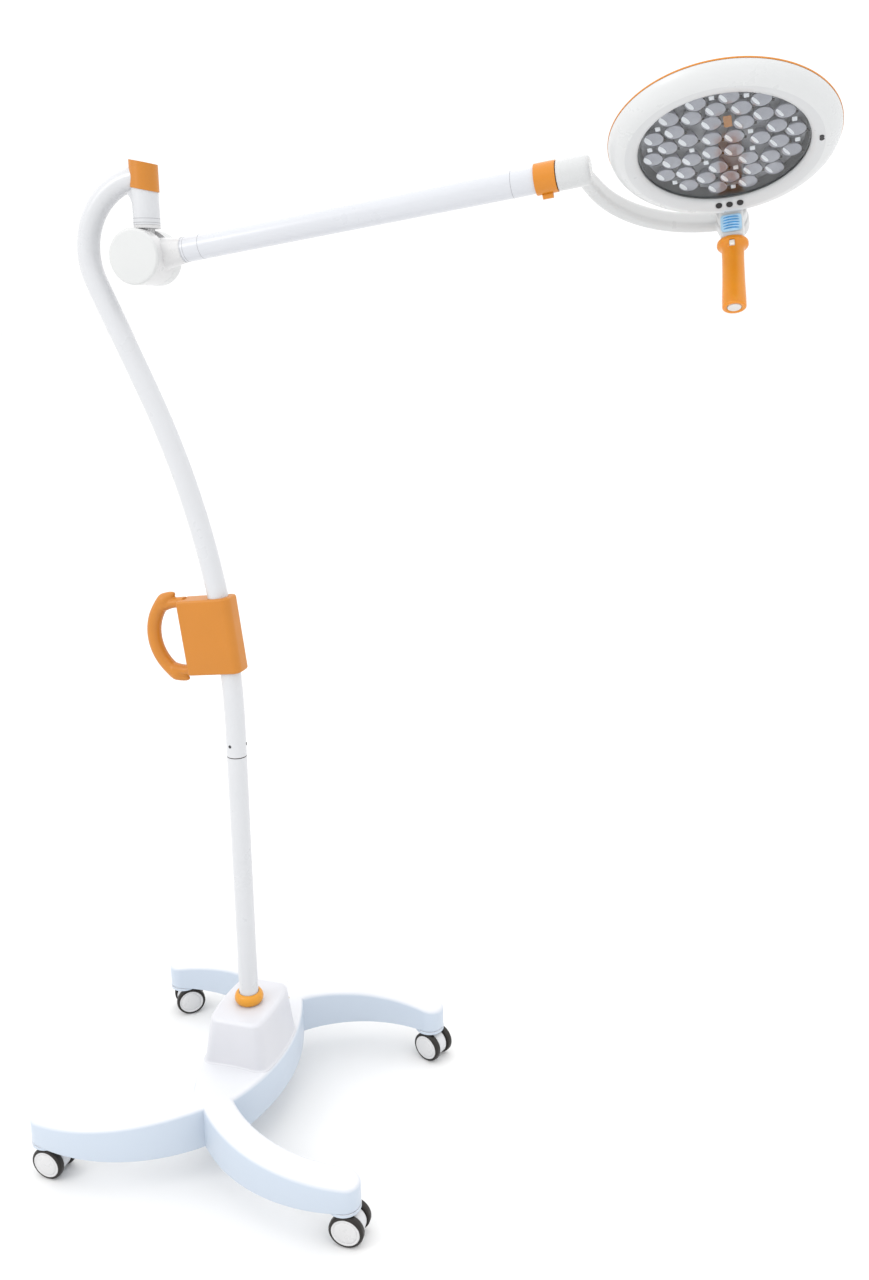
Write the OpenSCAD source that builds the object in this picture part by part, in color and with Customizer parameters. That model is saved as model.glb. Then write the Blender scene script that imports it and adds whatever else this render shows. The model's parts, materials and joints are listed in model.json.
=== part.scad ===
// Mobile surgical light: swan-neck stand on a four-leg caster base, pivoting arm, yoke and round LED head.
// Millimetres, +Z up. The origin is on the floor, on the axis of the lower pole.

/* [Base] */
// Height of the top of the base in the middle
base_top = 159; // [155:1:163]
// Height of the underside of the legs
base_bottom = 72; // [71:1:75]
// How far the top of a leg falls from the middle to the tip
leg_drop = 33; // [20:1:38]
// Width of a leg
leg_w = 60; // [54:1:66]
// Radius of the curved legs, seen from above
leg_r = 289; // [284:1:294]
// Wall thickness of the moulded covers
cover_wall = 4; // [3:0.5:5]
// Half the width of the middle of the base
middle_half_w = 78.6; // [76:0.2:82]

/* [Casters] */
// Distance of each caster stem from the pole, left to right
caster_x = 300; // [296:1:304]
// Radius of a caster wheel
wheel_r = 32.5; // [31:0.5:32.5]
// Distance from the stem to the wheel axle
caster_trail = 10; // [8:1:14]
// Swivel angle of the front left caster
turn_front_left = 177; // [-180:1:180]
// Swivel angle of the front right caster
turn_front_right = -178; // [-180:1:180]
// Swivel angle of the rear left caster
turn_rear_left = -145; // [-180:1:180]
// Swivel angle of the rear right caster
turn_rear_right = 158; // [-180:1:180]

/* [Battery box] */
// Height of the top of the battery box
box_top = 251; // [245:1:257]
// Half the width of the box at its foot
box_half_w = 72; // [70:1:74]
// How much narrower each side is at the top
box_draft = 14; // [8:1:16]
// Distance from the pole to the front wall
box_front = 86; // [84:1:90]
// Distance from the pole to the rear wall
box_rear = 82; // [80:1:84]

/* [Pole] */
// Outer radius of the pole and the swan neck
pole_r = 19; // [18.5:0.5:19.5]
// Wall of the pole
pole_wall = 3; // [2.5:0.5:3]
// Height of the joint between the lower and the upper pole
pole_joint = 783; // [750:1:805]
// Height where the swan neck starts to bend
bend_start = 839; // [832:1:847]
// Radius of the long bend
bend_r = 1457; // [1440:1:1470]
// Lean of the straight stretch above the long bend
neck_lean = 25; // [24:0.5:26]
// Length of the straight stretch
neck_straight = 197.7; // [190:0.1:205]
// Radius of the hook at the top
hook_r = 118; // [114:1:120]

/* [Push handle] */
// How far along the long bend the handle sits, in degrees
handle_at = 7.1; // [6:0.1:8]
// Height of the clamp block
block_h = 142; // [130:1:150]
// Depth of the clamp block
block_d = 50; // [46:1:56]
// Radius of the grip's rod
grip_r = 13.5; // [12:0.5:14]
// Radius of the grip's curve
grip_bend = 87.5; // [84:0.5:90]

/* [Arm] */
// Rise of the arm above the horizontal at rest
arm_rise = 8.9; // [5:0.1:12]
// Distance from the arm's pivot to the centre of the head
arm_reach = 951.5; // [900:0.5:1000]
// Outer radius of the arm tube
arm_r = 20; // [19.5:0.5:20.5]
// Radius of the drum round the arm's pivot
drum_r = 45; // [44:0.5:46]

/* [Head] */
// Turn of the yoke about the arm at rest
head_roll = 28.5; // [0:0.5:60]
// Tilt of the head in the yoke at rest
head_tilt = 2; // [-10:0.5:20]
// Radius of the yoke
yoke_r = 204; // [203:1:206]
// Outer radius of the rim
rim_r = 164; // [163:0.5:165]
// Radius of the round window
window_r = 121; // [120:0.5:122]
// Radius of the front of a lens
lens_r = 13.2; // [11:0.1:13.3]

/* [Sterile handle] */
// Distance of the handle from the centre of the head
grip_offset = 188; // [187:0.5:189]
// Radius of the handle at its free end
sterile_r = 18.6; // [17:0.1:19]

/* [Hidden] */
$fn = 96;
eps = 0.01;
gap = 0.3;
fit = 0.05;

white = [0.94, 0.94, 0.94];
side_white = [0.86, 0.88, 0.94];
orange = [0.86, 0.52, 0.15];
bright_orange = [0.94, 0.56, 0.08];
steel = [0.70, 0.71, 0.73];
dark = [0.12, 0.11, 0.11];
lens_tint = [0.62, 0.61, 0.68];

// Legs, seen from above
leg_cx = 229;
leg_cy = -9;
caster_y = leg_cy + sqrt(pow(leg_r, 2) - pow(caster_x - leg_cx, 2));
tip_turn = atan2(caster_y - leg_cy, caster_x - leg_cx);
leg_slope = atan(leg_drop / caster_x);
side_r = 420;
middle_half_len = 166;

// Casters
stem_r = 5.95;
boss_foot = 66.5;
axle_r = 4;
fork_half_w = 12.5;
hub_r = wheel_r - 5.5;
wheel_in = fork_half_w + 0.6;
wheel_out = 28;
caster_turns = [turn_front_left, turn_front_right, turn_rear_left, turn_rear_right];
caster_sides = [[-1, -1], [1, -1], [-1, 1], [1, 1]];

// Base insides
plate_t = 6;
frame_foot = 79;
socket_r = 22;
tube_in = pole_r - pole_wall;
socket_top = 237;
collar_top = 279;

// Rear wall of the battery box
port_z = 205;
inlet_x = -22;
switch_x = 16;
stud_x = 42;
stud_r = 3;
rocker_pivot = 8;

// Swan neck
bend_x = -bend_r * (1 - cos(neck_lean));
bend_z = bend_start + bend_r * sin(neck_lean);
hook_start_x = bend_x - neck_straight * sin(neck_lean);
hook_start_z = bend_z + neck_straight * cos(neck_lean);
hook_x = hook_start_x + hook_r * cos(neck_lean);
hook_z = hook_start_z + hook_r * sin(neck_lean);
hook_turn = 90 + neck_lean;
sleeve_step = 0.15;
sleeve_grip = 2;
post_x = hook_x - 3;
post_r = 22.3;
post_foot = 1725.5;
post_top = hook_z + hook_r + 13;
bush_r = 14;
spindle_r = 10;
cap_slant = 10.6;
cap_low = 1781;
cap_high = 1824;

// Arm pivot and arm
drum_x = post_x - 6;
drum_z = 1674;
drum_half = 45;
drum_seam = 20.5;
disc_r = 34.6;
disc_half = 12;
pin_r = 8;
slot_from = 34;
slot_to = 162;
tube_start = 73.3;
tube_end = 706;
collar_start = 676;
elbow_start = 709;
elbow_r = 22.5;
head_x = drum_x + arm_reach * cos(arm_rise);
head_z = drum_z + arm_reach * sin(arm_rise);

// Yoke and tilt joint
yoke_w = 22;
yoke_h = 30;
yoke_mid = 6.5;
hub_in = 191.5;
hub_out = 220;
tilt_hub_r = 26;

// Head: z = 0 is the plane of the tilt axis and the light shines towards -z
shell_wall = 3;
bezel_r = 26.6;
bezel_z = 8;
bezel_top = 4.5;
trim_r = rim_r + 0.4;
trim_z = bezel_top + 0.1;
trim_t = 2;
rear_r = 157.5;
rear_z = trim_z + trim_t + 0.1;
dome_top = 50.7;
dome_r = 309.3;
glass_z = -8.9;
glass_t = 3;
board_z = 17;
lens_front = -2.5;
lens_back_r = 5;
// Each ring of lenses: how many, radius, turn of the first
lens_rings = [[4, 21.8, 49.5], [7, 51.9, 50.5], [14, 78, 9.7], [14, 100.8, 21.6]];
fin_count = 9;
fin_r = 84;
fin_h = 12;
neck_half_w = 17;
handle_top = -46;
handle_end = -160;
flange_r = 24.6;
core_r = 11;
button_at = 128;
button_spread = 7.1;

// ---------- Frames ----------

// X along the arm, from the arm's pivot
module at_drum() {
  translate([drum_x, 0, drum_z]) rotate([0, -arm_rise, 0]) children();
}

// X along the arm, Y along the tilt axis, from the centre of the head
module at_yoke() {
  translate([head_x, 0, head_z]) rotate([0, -arm_rise, 0]) rotate([-head_roll, 0, 0]) children();
}

module at_head() {
  at_yoke() rotate([0, head_tilt, 0]) children();
}

// Frame of the sterile handle, with its axis along Z
module at_handle() {
  at_head() translate([0, grip_offset, 0]) children();
}

// X across the pole and Z along it, where the push handle sits
module at_block() {
  translate([-bend_r * (1 - cos(handle_at)), 0, bend_start + bend_r * sin(handle_at)])
    rotate([0, -handle_at, 0]) children();
}

// Frame of one caster: the stem is along Z and the axle is along Y
module at_caster(i) {
  translate([caster_sides[i][0] * caster_x, caster_sides[i][1] * caster_y, 0])
    rotate([0, 0, caster_turns[i]]) children();
}

// ---------- Shared shapes ----------

module quarters() {
  for (sx = [0, 1], sy = [0, 1]) mirror([sx, 0, 0]) mirror([0, sy, 0]) children();
}

module tube(r_out, r_in, h) {
  linear_extrude(h) difference() {
    circle(r_out);
    circle(r_in);
  }
}

module rod_y(r, from, to) {
  translate([0, from, 0]) rotate([-90, 0, 0]) cylinder(r = r, h = to - from);
}

module rod_x(r, from, to) {
  translate([from, 0, 0]) rotate([0, 90, 0]) cylinder(r = r, h = to - from);
}

module rounded_rect(w, h, r) {
  square([w - 2 * r, h], center = true);
  square([w, h - 2 * r], center = true);
  for (sx = [-1, 1], sy = [-1, 1]) translate([sx * (w / 2 - r), sy * (h / 2 - r)]) circle(r);
}

// Outline of one curved leg with a round tip
module leg_outline(w) {
  reach = 1.6 * leg_r;
  intersection() {
    translate([leg_cx, leg_cy]) difference() {
      circle(leg_r + w / 2);
      circle(leg_r - w / 2);
    }
    polygon([
      [-1, leg_cy],
      [leg_cx, leg_cy],
      [leg_cx + reach * cos(tip_turn), leg_cy + reach * sin(tip_turn)],
      [-1, reach]
    ]);
  }
  translate([caster_x, caster_y]) circle(w / 2);
}

// Outline of the middle of the base
module middle_outline(inset) {
  intersection() {
    middle_side(-1, inset);
    middle_side(1, inset);
    square([2 * middle_half_w, 2 * middle_half_len - inset], center = true);
  }
}

module middle_side(s, inset) {
  translate([s * (side_r - middle_half_w), 0]) circle(side_r - inset);
}

// Legs and middle together, with tops that fall towards the tips
module base_block(inset, foot, top) {
  translate([0, 0, foot]) linear_extrude(top - foot) middle_outline(inset);
  quarters() difference() {
    translate([0, 0, foot]) linear_extrude(top - foot) leg_outline(leg_w - 2 * inset);
    translate([0, 0, top]) rotate([0, leg_slope, 0]) cube([500, 500, 100]);
  }
}

module base_plate(inset, foot, t) {
  translate([0, 0, foot]) linear_extrude(t) {
    middle_outline(inset);
    quarters() leg_outline(leg_w - 2 * inset);
  }
}

module at_stems() {
  for (s = caster_sides) translate([s[0] * caster_x, s[1] * caster_y, 0]) children();
}

// ---------- Base ----------

module base_cover() {
  color(side_white) difference() {
    base_block(0, base_bottom, base_top);
    base_block(cover_wall, base_bottom - 1, base_top - cover_wall);
    cylinder(r = socket_r + gap, h = base_top + 1);
  }
}

module base_frame() {
  color(steel) {
    difference() {
      union() {
        base_plate(cover_wall + 11, frame_foot, plate_t);
        cylinder_between(socket_r, frame_foot, socket_top);
        at_stems() cylinder_between(13, base_bottom + 3.5, frame_foot + 32);
      }
      cylinder_between(pole_r + fit, frame_foot + plate_t, socket_top + 1);
      at_stems() cylinder_between(stem_r + fit, base_bottom, frame_foot + 33);
    }
  }
}

module cylinder_between(r, z0, z1) {
  translate([0, 0, z0]) cylinder(r = r, h = z1 - z0);
}

module ballast() {
  color([0.30, 0.30, 0.32]) translate([0, 0, frame_foot + plate_t + gap]) linear_extrude(64) difference() {
    intersection() {
      middle_side(-1, cover_wall + 4.6);
      middle_side(1, cover_wall + 4.6);
      square([140, 290], center = true);
    }
    circle(socket_r + gap);
  }
}

module bottom_cover() {
  color(side_white) difference() {
    union() {
      base_plate(cover_wall + 0.4, base_bottom, 3);
      at_stems() cylinder_between(31, boss_foot, base_bottom);
    }
    at_stems() cylinder_between(13.5, boss_foot - 1, base_bottom + 4);
  }
}

module caster_stems() {
  color(steel) at_stems() {
    cylinder_between(stem_r, 46, frame_foot + 30);
    cylinder_between(13, boss_foot + 0.5, base_bottom + 3);
  }
}

// ---------- Casters ----------

module caster_fork(i) {
  color(white) at_caster(i) difference() {
    union() {
      translate([-caster_trail, 0, wheel_r]) rod_y(wheel_r - 5, -fork_half_w, fork_half_w);
      cylinder_between(fork_half_w - 1.5, 40, boss_foot - 0.5);
    }
    cylinder_between(stem_r + fit, 45, boss_foot);
    translate([-caster_trail, 0, wheel_r]) rod_y(axle_r + 0.02, -fork_half_w - 1, fork_half_w + 1);
  }
  color(steel) at_caster(i) translate([-caster_trail, 0, wheel_r]) rod_y(axle_r, -27, 27);
}

// One wheel: hub with its cap, and tyre. side is -1 or 1 along the axle.
module caster_wheel(i, side) {
  at_caster(i) translate([-caster_trail, 0, wheel_r]) scale([1, side, 1]) {
    color(white) difference() {
      union() {
        rod_y(hub_r, wheel_in, wheel_out);
        rod_y(hub_r - 4, wheel_out - 1, wheel_out + 2);
      }
      rod_y(axle_r + fit, wheel_in - 1, wheel_out - 0.5);
    }
    color(dark) rotate([-90, 0, 0]) rotate_extrude() translate([0, wheel_in]) tyre_section();
  }
}

module tyre_section() {
  w = wheel_out - wheel_in;
  edge = 4;
  translate([hub_r + 0.02, 0]) square([wheel_r - hub_r - edge, w]);
  translate([hub_r + 0.02, edge]) square([wheel_r - hub_r - 0.02, w - 2 * edge]);
  for (y = [edge, w - edge]) translate([wheel_r - edge, y]) circle(edge);
}

// ---------- Battery box ----------

module box_block(inset, top) {
  intersection() {
    box_side(-1, inset);
    box_side(1, inset);
    rotate([90, 0, 90]) linear_extrude(2 * box_half_w, center = true) polygon([
      [-box_front + inset, base_top],
      [box_rear - inset, base_top],
      [box_rear - inset, top],
      [-box_front + 10 + inset, top]
    ]);
  }
}

module box_side(s, inset) {
  translate([s * (side_r - box_half_w), 0, base_top])
    cylinder(r1 = side_r - inset, r2 = side_r - box_draft - inset, h = box_top - base_top);
}

module pedestal_cover() {
  color(white) difference() {
    box_block(0, box_top);
    translate([0, 0, -eps]) box_block(cover_wall, box_top - cover_wall);
    cylinder(r = pole_r + gap, h = box_top + 1);
    translate([inlet_x - 13.7, box_rear - 6, port_z - 10.2]) cube([27.4, 10, 20.4]);
    translate([switch_x - 7, box_rear - 6, port_z - 11.8]) cube([14, 10, 23.6]);
    translate([stud_x, 0, port_z]) rod_y(stud_r + 0.1, box_rear - 8, box_rear + 1);
  }
}

module battery_pack() {
  color([0.20, 0.22, 0.26]) translate([-45, -72, base_top + gap]) cube([90, 44, 66]);
}

module power_supply() {
  color([0.55, 0.57, 0.55]) translate([-45, 26, base_top + gap]) cube([90, 25, 70]);
}

module mains_inlet() {
  color(dark) difference() {
    union() {
      translate([inlet_x - 13.5, box_rear - 24, port_z - 10]) cube([27, 24.01, 20]);
      translate([inlet_x - 15, box_rear, port_z - 12]) cube([30, 2.5, 24]);
    }
    translate([inlet_x - 12, box_rear - 19, port_z - 8.2]) cube([24, 30, 16.4]);
  }
  color(steel) for (p = [[-7, -2], [0, 2], [7, -2]])
    translate([inlet_x + p[0] - 1, box_rear - 20, port_z + p[1] - 2]) cube([2, 14, 4]);
}

module power_switch() {
  color(dark) translate([switch_x, box_rear - rocker_pivot, port_z]) rotate([-8, 0, 0]) difference() {
    rotate([90, 0, 90]) linear_extrude(13, center = true)
      polygon([[-6, -9.5], [8, -9.5], [9.5, 0], [8, 9.5], [-6, 9.5]]);
    rod_x(1.5, -7, 7);
  }
}

module earth_stud() {
  color(steel) translate([stud_x, 0, port_z]) {
    rod_y(stud_r, box_rear - 9, box_rear + 14);
    translate([0, box_rear + 0.02, 0]) rotate([-90, 0, 0]) tube(7.5, stud_r, 2.5);
    translate([0, box_rear - cover_wall - 4, 0]) rotate([-90, 0, 0]) tube(6, stud_r, 3.9);
  }
}

// ---------- Pole ----------

module base_collar() {
  color(orange) rotate_extrude() translate([pole_r + 0.1, box_top + 0.1]) {
    square([6, collar_top - box_top]);
    translate([0, 4]) square([10, collar_top - box_top - 10]);
    translate([6, 4]) circle(4);
    translate([6, collar_top - box_top - 6]) intersection() {
      circle(6);
      square([4, 6]);
    }
    translate([6, 0]) square([eps, 4]);
  }
}

module lower_pole() {
  color(white) translate([0, 0, frame_foot + plate_t + gap])
    tube(pole_r, tube_in, pole_joint - 1 - frame_foot - plate_t - gap);
}

module pole_spigot() {
  color(dark) {
    translate([0, 0, pole_joint - 56]) tube(tube_in - 0.1, 12, 105);
    translate([0, 0, pole_joint - 0.95]) tube(pole_r - 0.5, tube_in - 0.1, 1.9);
  }
}

// Three grub screws round the foot of the upper pole
module set_screws() {
  color(dark) at_set_screws() rod_x(3, tube_in, pole_r + 0.6);
}

module at_set_screws() {
  for (a = [-103, 17, 137]) translate([0, 0, pole_joint + 23]) rotate([0, 0, a]) children();
}

// The upper pole as a rod of radius r, with a hook that turns by the given angle.
// The straight stretch is a sleeve, a little wider than the two bends that it grips.
module neck_rod(r, turn) {
  cylinder_between(r, pole_joint + 1, bend_start);
  translate([-bend_r, 0, bend_start]) rotate([90, 0, 0])
    rotate_extrude(angle = neck_lean, $fn = 360) translate([bend_r, 0]) circle(r, $fn = 64);
  translate([bend_x, 0, bend_z]) rotate([0, -neck_lean, 0])
    translate([0, 0, -sleeve_grip]) cylinder(r = r + sleeve_step, h = neck_straight + 2 * sleeve_grip);
  translate([hook_x, 0, hook_z]) rotate([90, 0, 0]) rotate([0, 0, 90 + hook_turn - turn])
    rotate_extrude(angle = turn) translate([hook_r, 0]) circle(r);
}

module swan_neck() {
  color(white) difference() {
    union() {
      neck_rod(pole_r, hook_turn);
      translate([post_x, 0, 0]) cylinder_between(post_r, post_foot, post_top);
      hook_web();
    }
    neck_rod(tube_in, hook_turn - 14);
    translate([post_x, 0, 0]) cylinder_between(bush_r + fit, post_foot - 1, post_foot + 57);
    at_set_screws() rod_x(3 + fit, tube_in - 2, pole_r + 2);
  }
}

// Small curved web under the end of the hook
module hook_web() {
  foot = hook_z + 78;
  difference() {
    translate([post_x - post_r - 18, -7, foot]) cube([22, 14, 26]);
    translate([post_x - post_r - 20, 0, foot - 3]) rod_y(20, -8, 8);
  }
}

// ---------- Push handle ----------

module clamp_bracket() {
  color(orange) difference() {
    at_block() translate([-25, 0, 0]) rotate([90, 0, 0])
      linear_extrude(block_d, center = true) rounded_rect(106, block_h, 7);
    translate([-bend_r, 0, bend_start]) rotate([90, 0, 0])
      rotate_extrude(angle = neck_lean, $fn = 360) translate([bend_r, 0]) circle(pole_r + 0.1, $fn = 64);
  }
}

module push_grip() {
  grip_x = -58;
  color(orange) at_block() {
    intersection() {
      translate([grip_x, 0, 0]) rotate([90, 0, 0]) rotate([0, 0, 118])
        rotate_extrude(angle = 124) translate([grip_bend, 0]) circle(grip_r);
      translate([-200, -50, -87]) cube([160, 100, 174]);
    }
    for (s = [-1, 1]) translate([0, 0, s * 61]) rod_x(10, grip_x - 58, -78.1);
  }
}

// ---------- Swivel joint ----------

module post_cap() {
  color(orange) translate([post_x, 0, 0]) difference() {
    cylinder_between(post_r + 1.5, cap_low - 10, cap_high + 10);
    cylinder_between(post_r + gap, cap_low - 11, post_top + gap);
    translate([0, 0, cap_high]) rotate([0, cap_slant, 0]) translate([-60, -60, 0]) cube([120, 120, 40]);
    translate([0, 0, cap_low]) rotate([0, cap_slant, 0]) translate([-60, -60, -40]) cube([120, 120, 40]);
    translate([hook_x - post_x, 0, hook_z]) rotate([90, 0, 0]) rotate([0, 0, 90])
      rotate_extrude(angle = 30) translate([hook_r, 0]) circle(pole_r + 0.5);
    translate([-60, -7.5, cap_low - 30]) cube([60, 15, 40]);
  }
}

module swivel_spindle() {
  color(steel) translate([post_x, 0, 0]) {
    cylinder_between(spindle_r, post_foot + 0.5, post_foot + 55);
    cylinder_between(pin_r, post_foot - 18, post_foot + 1);
  }
}

module swivel_bushes() {
  color([0.75, 0.62, 0.35]) translate([post_x, 0, 0]) {
    translate([0, 0, post_foot + 0.6]) tube(bush_r, spindle_r + fit, 18);
    translate([0, 0, post_foot + 36]) tube(bush_r, spindle_r + fit, 18);
  }
}

module knuckle() {
  color(white) difference() {
    union() {
      translate([drum_x, 0, drum_z]) rod_y(disc_r, -disc_half, disc_half);
      translate([drum_x - 14, -disc_half, drum_z + 10]) cube([28, 2 * disc_half, 37]);
      translate([post_x, 0, 0]) cylinder_between(post_r, drum_z + drum_r + 1.2, post_foot - 0.3);
    }
    translate([drum_x, 0, drum_z]) rod_y(pin_r + fit, -20, 20);
    translate([post_x, 0, 0]) cylinder_between(pin_r + fit, post_foot - 19, post_foot + 1);
  }
}

// ---------- Arm ----------

module pivot_pin() {
  color(steel) translate([drum_x, 0, drum_z]) rod_y(pin_r, -37, 37);
}

// Wedge from angle a to angle b about Y, seen from the front
module wedge(a, b, r, half) {
  mid = (a + b) / 2;
  rotate([90, 0, 0]) linear_extrude(2 * half, center = true)
    polygon([[0, 0], r * [cos(a), sin(a)], 1.6 * r * [cos(mid), sin(mid)], r * [cos(b), sin(b)]]);
}

module arm_root() {
  color(white) at_drum() difference() {
    union() {
      rod_y(drum_r, -38, drum_seam);
      intersection() {
        translate([30, 0, 0]) rotate([0, 90, 0]) cylinder(r1 = 27, r2 = arm_r + 0.4, h = tube_start - 30);
        translate([0, -60, -60]) cube([200, 60 + drum_seam, 120]);
      }
      rod_x(arm_r - 2.6, tube_start - 1, tube_start + 36);
    }
    rod_y(disc_r + 0.5, -disc_half - 0.5, disc_half + 0.5);
    wedge(slot_from, slot_to, 90, disc_half + 0.5);
    rod_y(pin_r + 0.02, -40, 40);
  }
}

module drum_covers() {
  color(white) at_drum() {
    rod_y(drum_r, -drum_half, -38.1);
    difference() {
      rod_y(drum_r, drum_seam + 0.3, drum_half);
      rod_y(drum_r - 4, drum_seam, drum_half - 4);
    }
  }
}

module arm_tube() {
  color(white) at_drum() translate([tube_start + 0.2, 0, 0]) rotate([0, 90, 0])
    tube(arm_r, arm_r - 2.5, tube_end - tube_start);
}

// Points of one ring of a coil whose wire has six sides
function coil_ring(turns, i, steps, r, wire, length) =
  let (a = 360 * turns * i / steps, x = length * i / steps)
  [for (k = [0:5]) let (b = 60 * k) [
    x + wire * sin(b),
    (r + wire * cos(b)) * cos(a),
    (r + wire * cos(b)) * sin(a)
  ]];

module balance_spring() {
  turns = 14;
  steps = 168;
  points = [for (i = [0:steps]) each coil_ring(turns, i, steps, 12, 2, 280)];
  sides = [for (i = [0:steps - 1], k = [0:5]) let (a = 6 * i + k, b = 6 * i + (k + 1) % 6)
    each [[a, b, b + 6], [a, b + 6, a + 6]]];
  ends = [[5, 4, 3, 2, 1, 0], [for (k = [0:5]) 6 * steps + k]];
  color(steel) at_drum() translate([130, 0, 0]) polyhedron(points, concat(sides, ends));
}

module arm_collar() {
  color(orange) at_drum() {
    translate([collar_start, 0, 0]) rotate([0, 90, 0]) tube(arm_r + 3, arm_r + 0.1, elbow_start - collar_start - 0.5);
    translate([692, 0, -arm_r - 5]) difference() {
      rod_x(5, -8, 8);
      translate([-9, -6, 2.5]) cube([18, 12, 10]);
    }
  }
}

module roll_bearing() {
  color([0.25, 0.25, 0.27]) at_drum() translate([646, 0, 0]) rotate([0, 90, 0])
    tube(arm_r - 2.6, spindle_r + fit, 58);
}

// ---------- Yoke ----------

module yoke() {
  elbow_back = elbow_start - arm_reach;
  color(white) at_yoke() difference() {
    union() {
      rotate([0, 0, 90]) rotate_extrude(angle = 90) translate([yoke_r, yoke_mid]) rounded_rect(yoke_w, yoke_h, 8);
      rod_x(elbow_r, elbow_back, -yoke_r + yoke_w / 2 - 0.5);
      rod_x(spindle_r, elbow_back - 60, elbow_back + 5);
      rod_y(tilt_hub_r, hub_in, hub_out);
    }
    rod_y(pin_r + 0.02, hub_in - 1, hub_out - 2);
  }
}

module tilt_pin() {
  color(steel) at_yoke() rod_y(pin_r, 168, hub_out - 2.2);
}

// ---------- Head ----------

// Space that the rim of the head fills, a little larger
module rim_space(more) {
  rotate_extrude() {
    translate([rim_r - bezel_r, bezel_z]) circle(bezel_r + more);
    translate([rim_r - 10, trim_z - more]) square([10 + trim_r - rim_r + more, trim_t + 2 * more]);
  }
}

// Arm that carries the head on the tilt joint and holds the sterile handle
module head_neck() {
  color(white) at_head() difference() {
    union() {
      rotate([90, 0, 90]) linear_extrude(2 * neck_half_w, center = true) polygon([
        [150, -4], [168, handle_top], [grip_offset + 12, handle_top], [grip_offset + 12, -32],
        [hub_in - 0.5, -32], [hub_in - 0.5, 18], [150, 18]
      ]);
      rod_y(24, 166, hub_in - 0.5);
      translate([0, grip_offset, 0]) cylinder_between(18, handle_top, -32);
    }
    rim_space(0.3);
    rod_y(pin_r + fit, 167, 200);
  }
}

// Soft blue pad on the sloping front of the neck
module touch_pad() {
  slope = atan2(18, 42);
  color([0.35, 0.68, 0.90]) at_head() translate([0, 160.3, -28]) rotate([90 + slope, 0, 0])
    translate([-14, -12, 0.05]) cube([28, 24, 1.2]);
}

module rear_section(inset) {
  intersection() {
    translate([0, dome_top - dome_r]) circle(dome_r - inset, $fn = 720);
    translate([0, rear_z]) square([rear_r - inset, dome_top]);
  }
}

module rear_housing() {
  color(white) at_head() rotate_extrude() difference() {
    rear_section(0);
    translate([0, -eps]) rear_section(shell_wall);
  }
}

module trim_ring() {
  color(bright_orange) at_head() translate([0, 0, trim_z]) tube(trim_r, rear_r - 4, trim_t);
}

module bezel() {
  color(white) at_head() difference() {
    rotate_extrude() intersection() {
      translate([rim_r - bezel_r, bezel_z]) difference() {
        circle(bezel_r);
        circle(bezel_r - shell_wall);
      }
      translate([window_r, -60]) square([60, 60 + bezel_top]);
    }
    at_buttons() cylinder(r = 5.2, h = 12, center = true);
    at_sensor() sensor_shape(0.2, 12);
  }
}

// Places of the three buttons, with Z out of the surface
module at_buttons(list = [-1, 0, 1]) {
  depth = rim_r - bezel_r - button_at;
  lean = asin(depth / bezel_r);
  for (i = list) rotate([0, 0, 90 - i * button_spread])
    translate([button_at, 0, bezel_z - bezel_r * cos(lean)]) rotate([0, 180 + lean, 0]) children();
}

module button(i) {
  color(dark) at_head() at_buttons([i]) translate([0, 0, -4.2]) cylinder(r = 4.9, h = 5);
}

module button_power() { button(0); }
module button_brighter() { button(1); }
module button_dimmer() { button(-1); }

module at_sensor() {
  translate([rim_r - bezel_r - 3, 0, bezel_z - bezel_r]) children();
}

// Two small round windows that run into each other
module sensor_shape(more, h) {
  for (s = [-1, 1]) translate([0, s * 2.6, 0]) cylinder(r = 3.3 + more, h = h, center = true);
}

module sensor_window() {
  color(dark) at_head() at_sensor() translate([0, 0, 1]) sensor_shape(0, 3);
}

module front_glass() {
  color([0.80, 0.86, 0.88, 0.35]) at_head() translate([0, 0, glass_z]) cylinder(r = window_r + 1.5, h = glass_t);
}

module recess_ring() {
  foot = glass_z + glass_t + 0.2;
  color([0.30, 0.31, 0.33]) at_head() rotate_extrude()
    polygon([[121.5, foot], [118.5, foot], [114, board_z - gap], [117, board_z - gap]]);
}

module at_lenses() {
  for (ring = lens_rings, k = [0:ring[0] - 1])
    rotate([0, 0, ring[2] + 360 * k / ring[0]]) translate([ring[1], 0, 0]) children();
}

module lens_array() {
  color(lens_tint) at_head() at_lenses() translate([0, 0, lens_front])
    cylinder(r1 = lens_r, r2 = lens_back_r, h = board_z - lens_front);
}

module led_board() {
  color([0.35, 0.36, 0.38]) at_head() translate([0, 0, board_z + 0.1]) cylinder(r = 116, h = 2);
}

module heat_sink() {
  foot = board_z + 2.2;
  color(steel) at_head() {
    translate([0, 0, foot]) cylinder(r = 112, h = 4);
    intersection() {
      translate([0, 0, foot + 3]) cylinder(r = fin_r, h = fin_h);
      for (i = [0:fin_count - 1]) translate([(i - (fin_count - 1) / 2) * 19 - 1, -100, foot + 3])
        cube([2, 200, fin_h]);
    }
  }
}

// ---------- Sterile handle ----------

module handle_core() {
  color(white) at_handle() cylinder_between(core_r, handle_end + 1.5, handle_top - 0.05);
}

module sterile_handle() {
  color(bright_orange) at_handle() difference() {
    rotate_extrude() polygon([
      [core_r + gap, handle_top - gap], [flange_r, handle_top - gap], [flange_r, handle_top - 7],
      [17, handle_top - 15], [sterile_r - 1, handle_end + 30], [sterile_r, handle_end + 8],
      [sterile_r, handle_end + 2], [sterile_r - 2, handle_end], [core_r + gap, handle_end]
    ]);
    translate([-4.4, -30, handle_top - 15.4]) cube([8.8, 30, 8.8]);
  }
}

module handle_catch() {
  color(white) at_handle() translate([-4, -21.4, handle_top - 15]) cube([8, 7.6, 8]);
}

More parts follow.
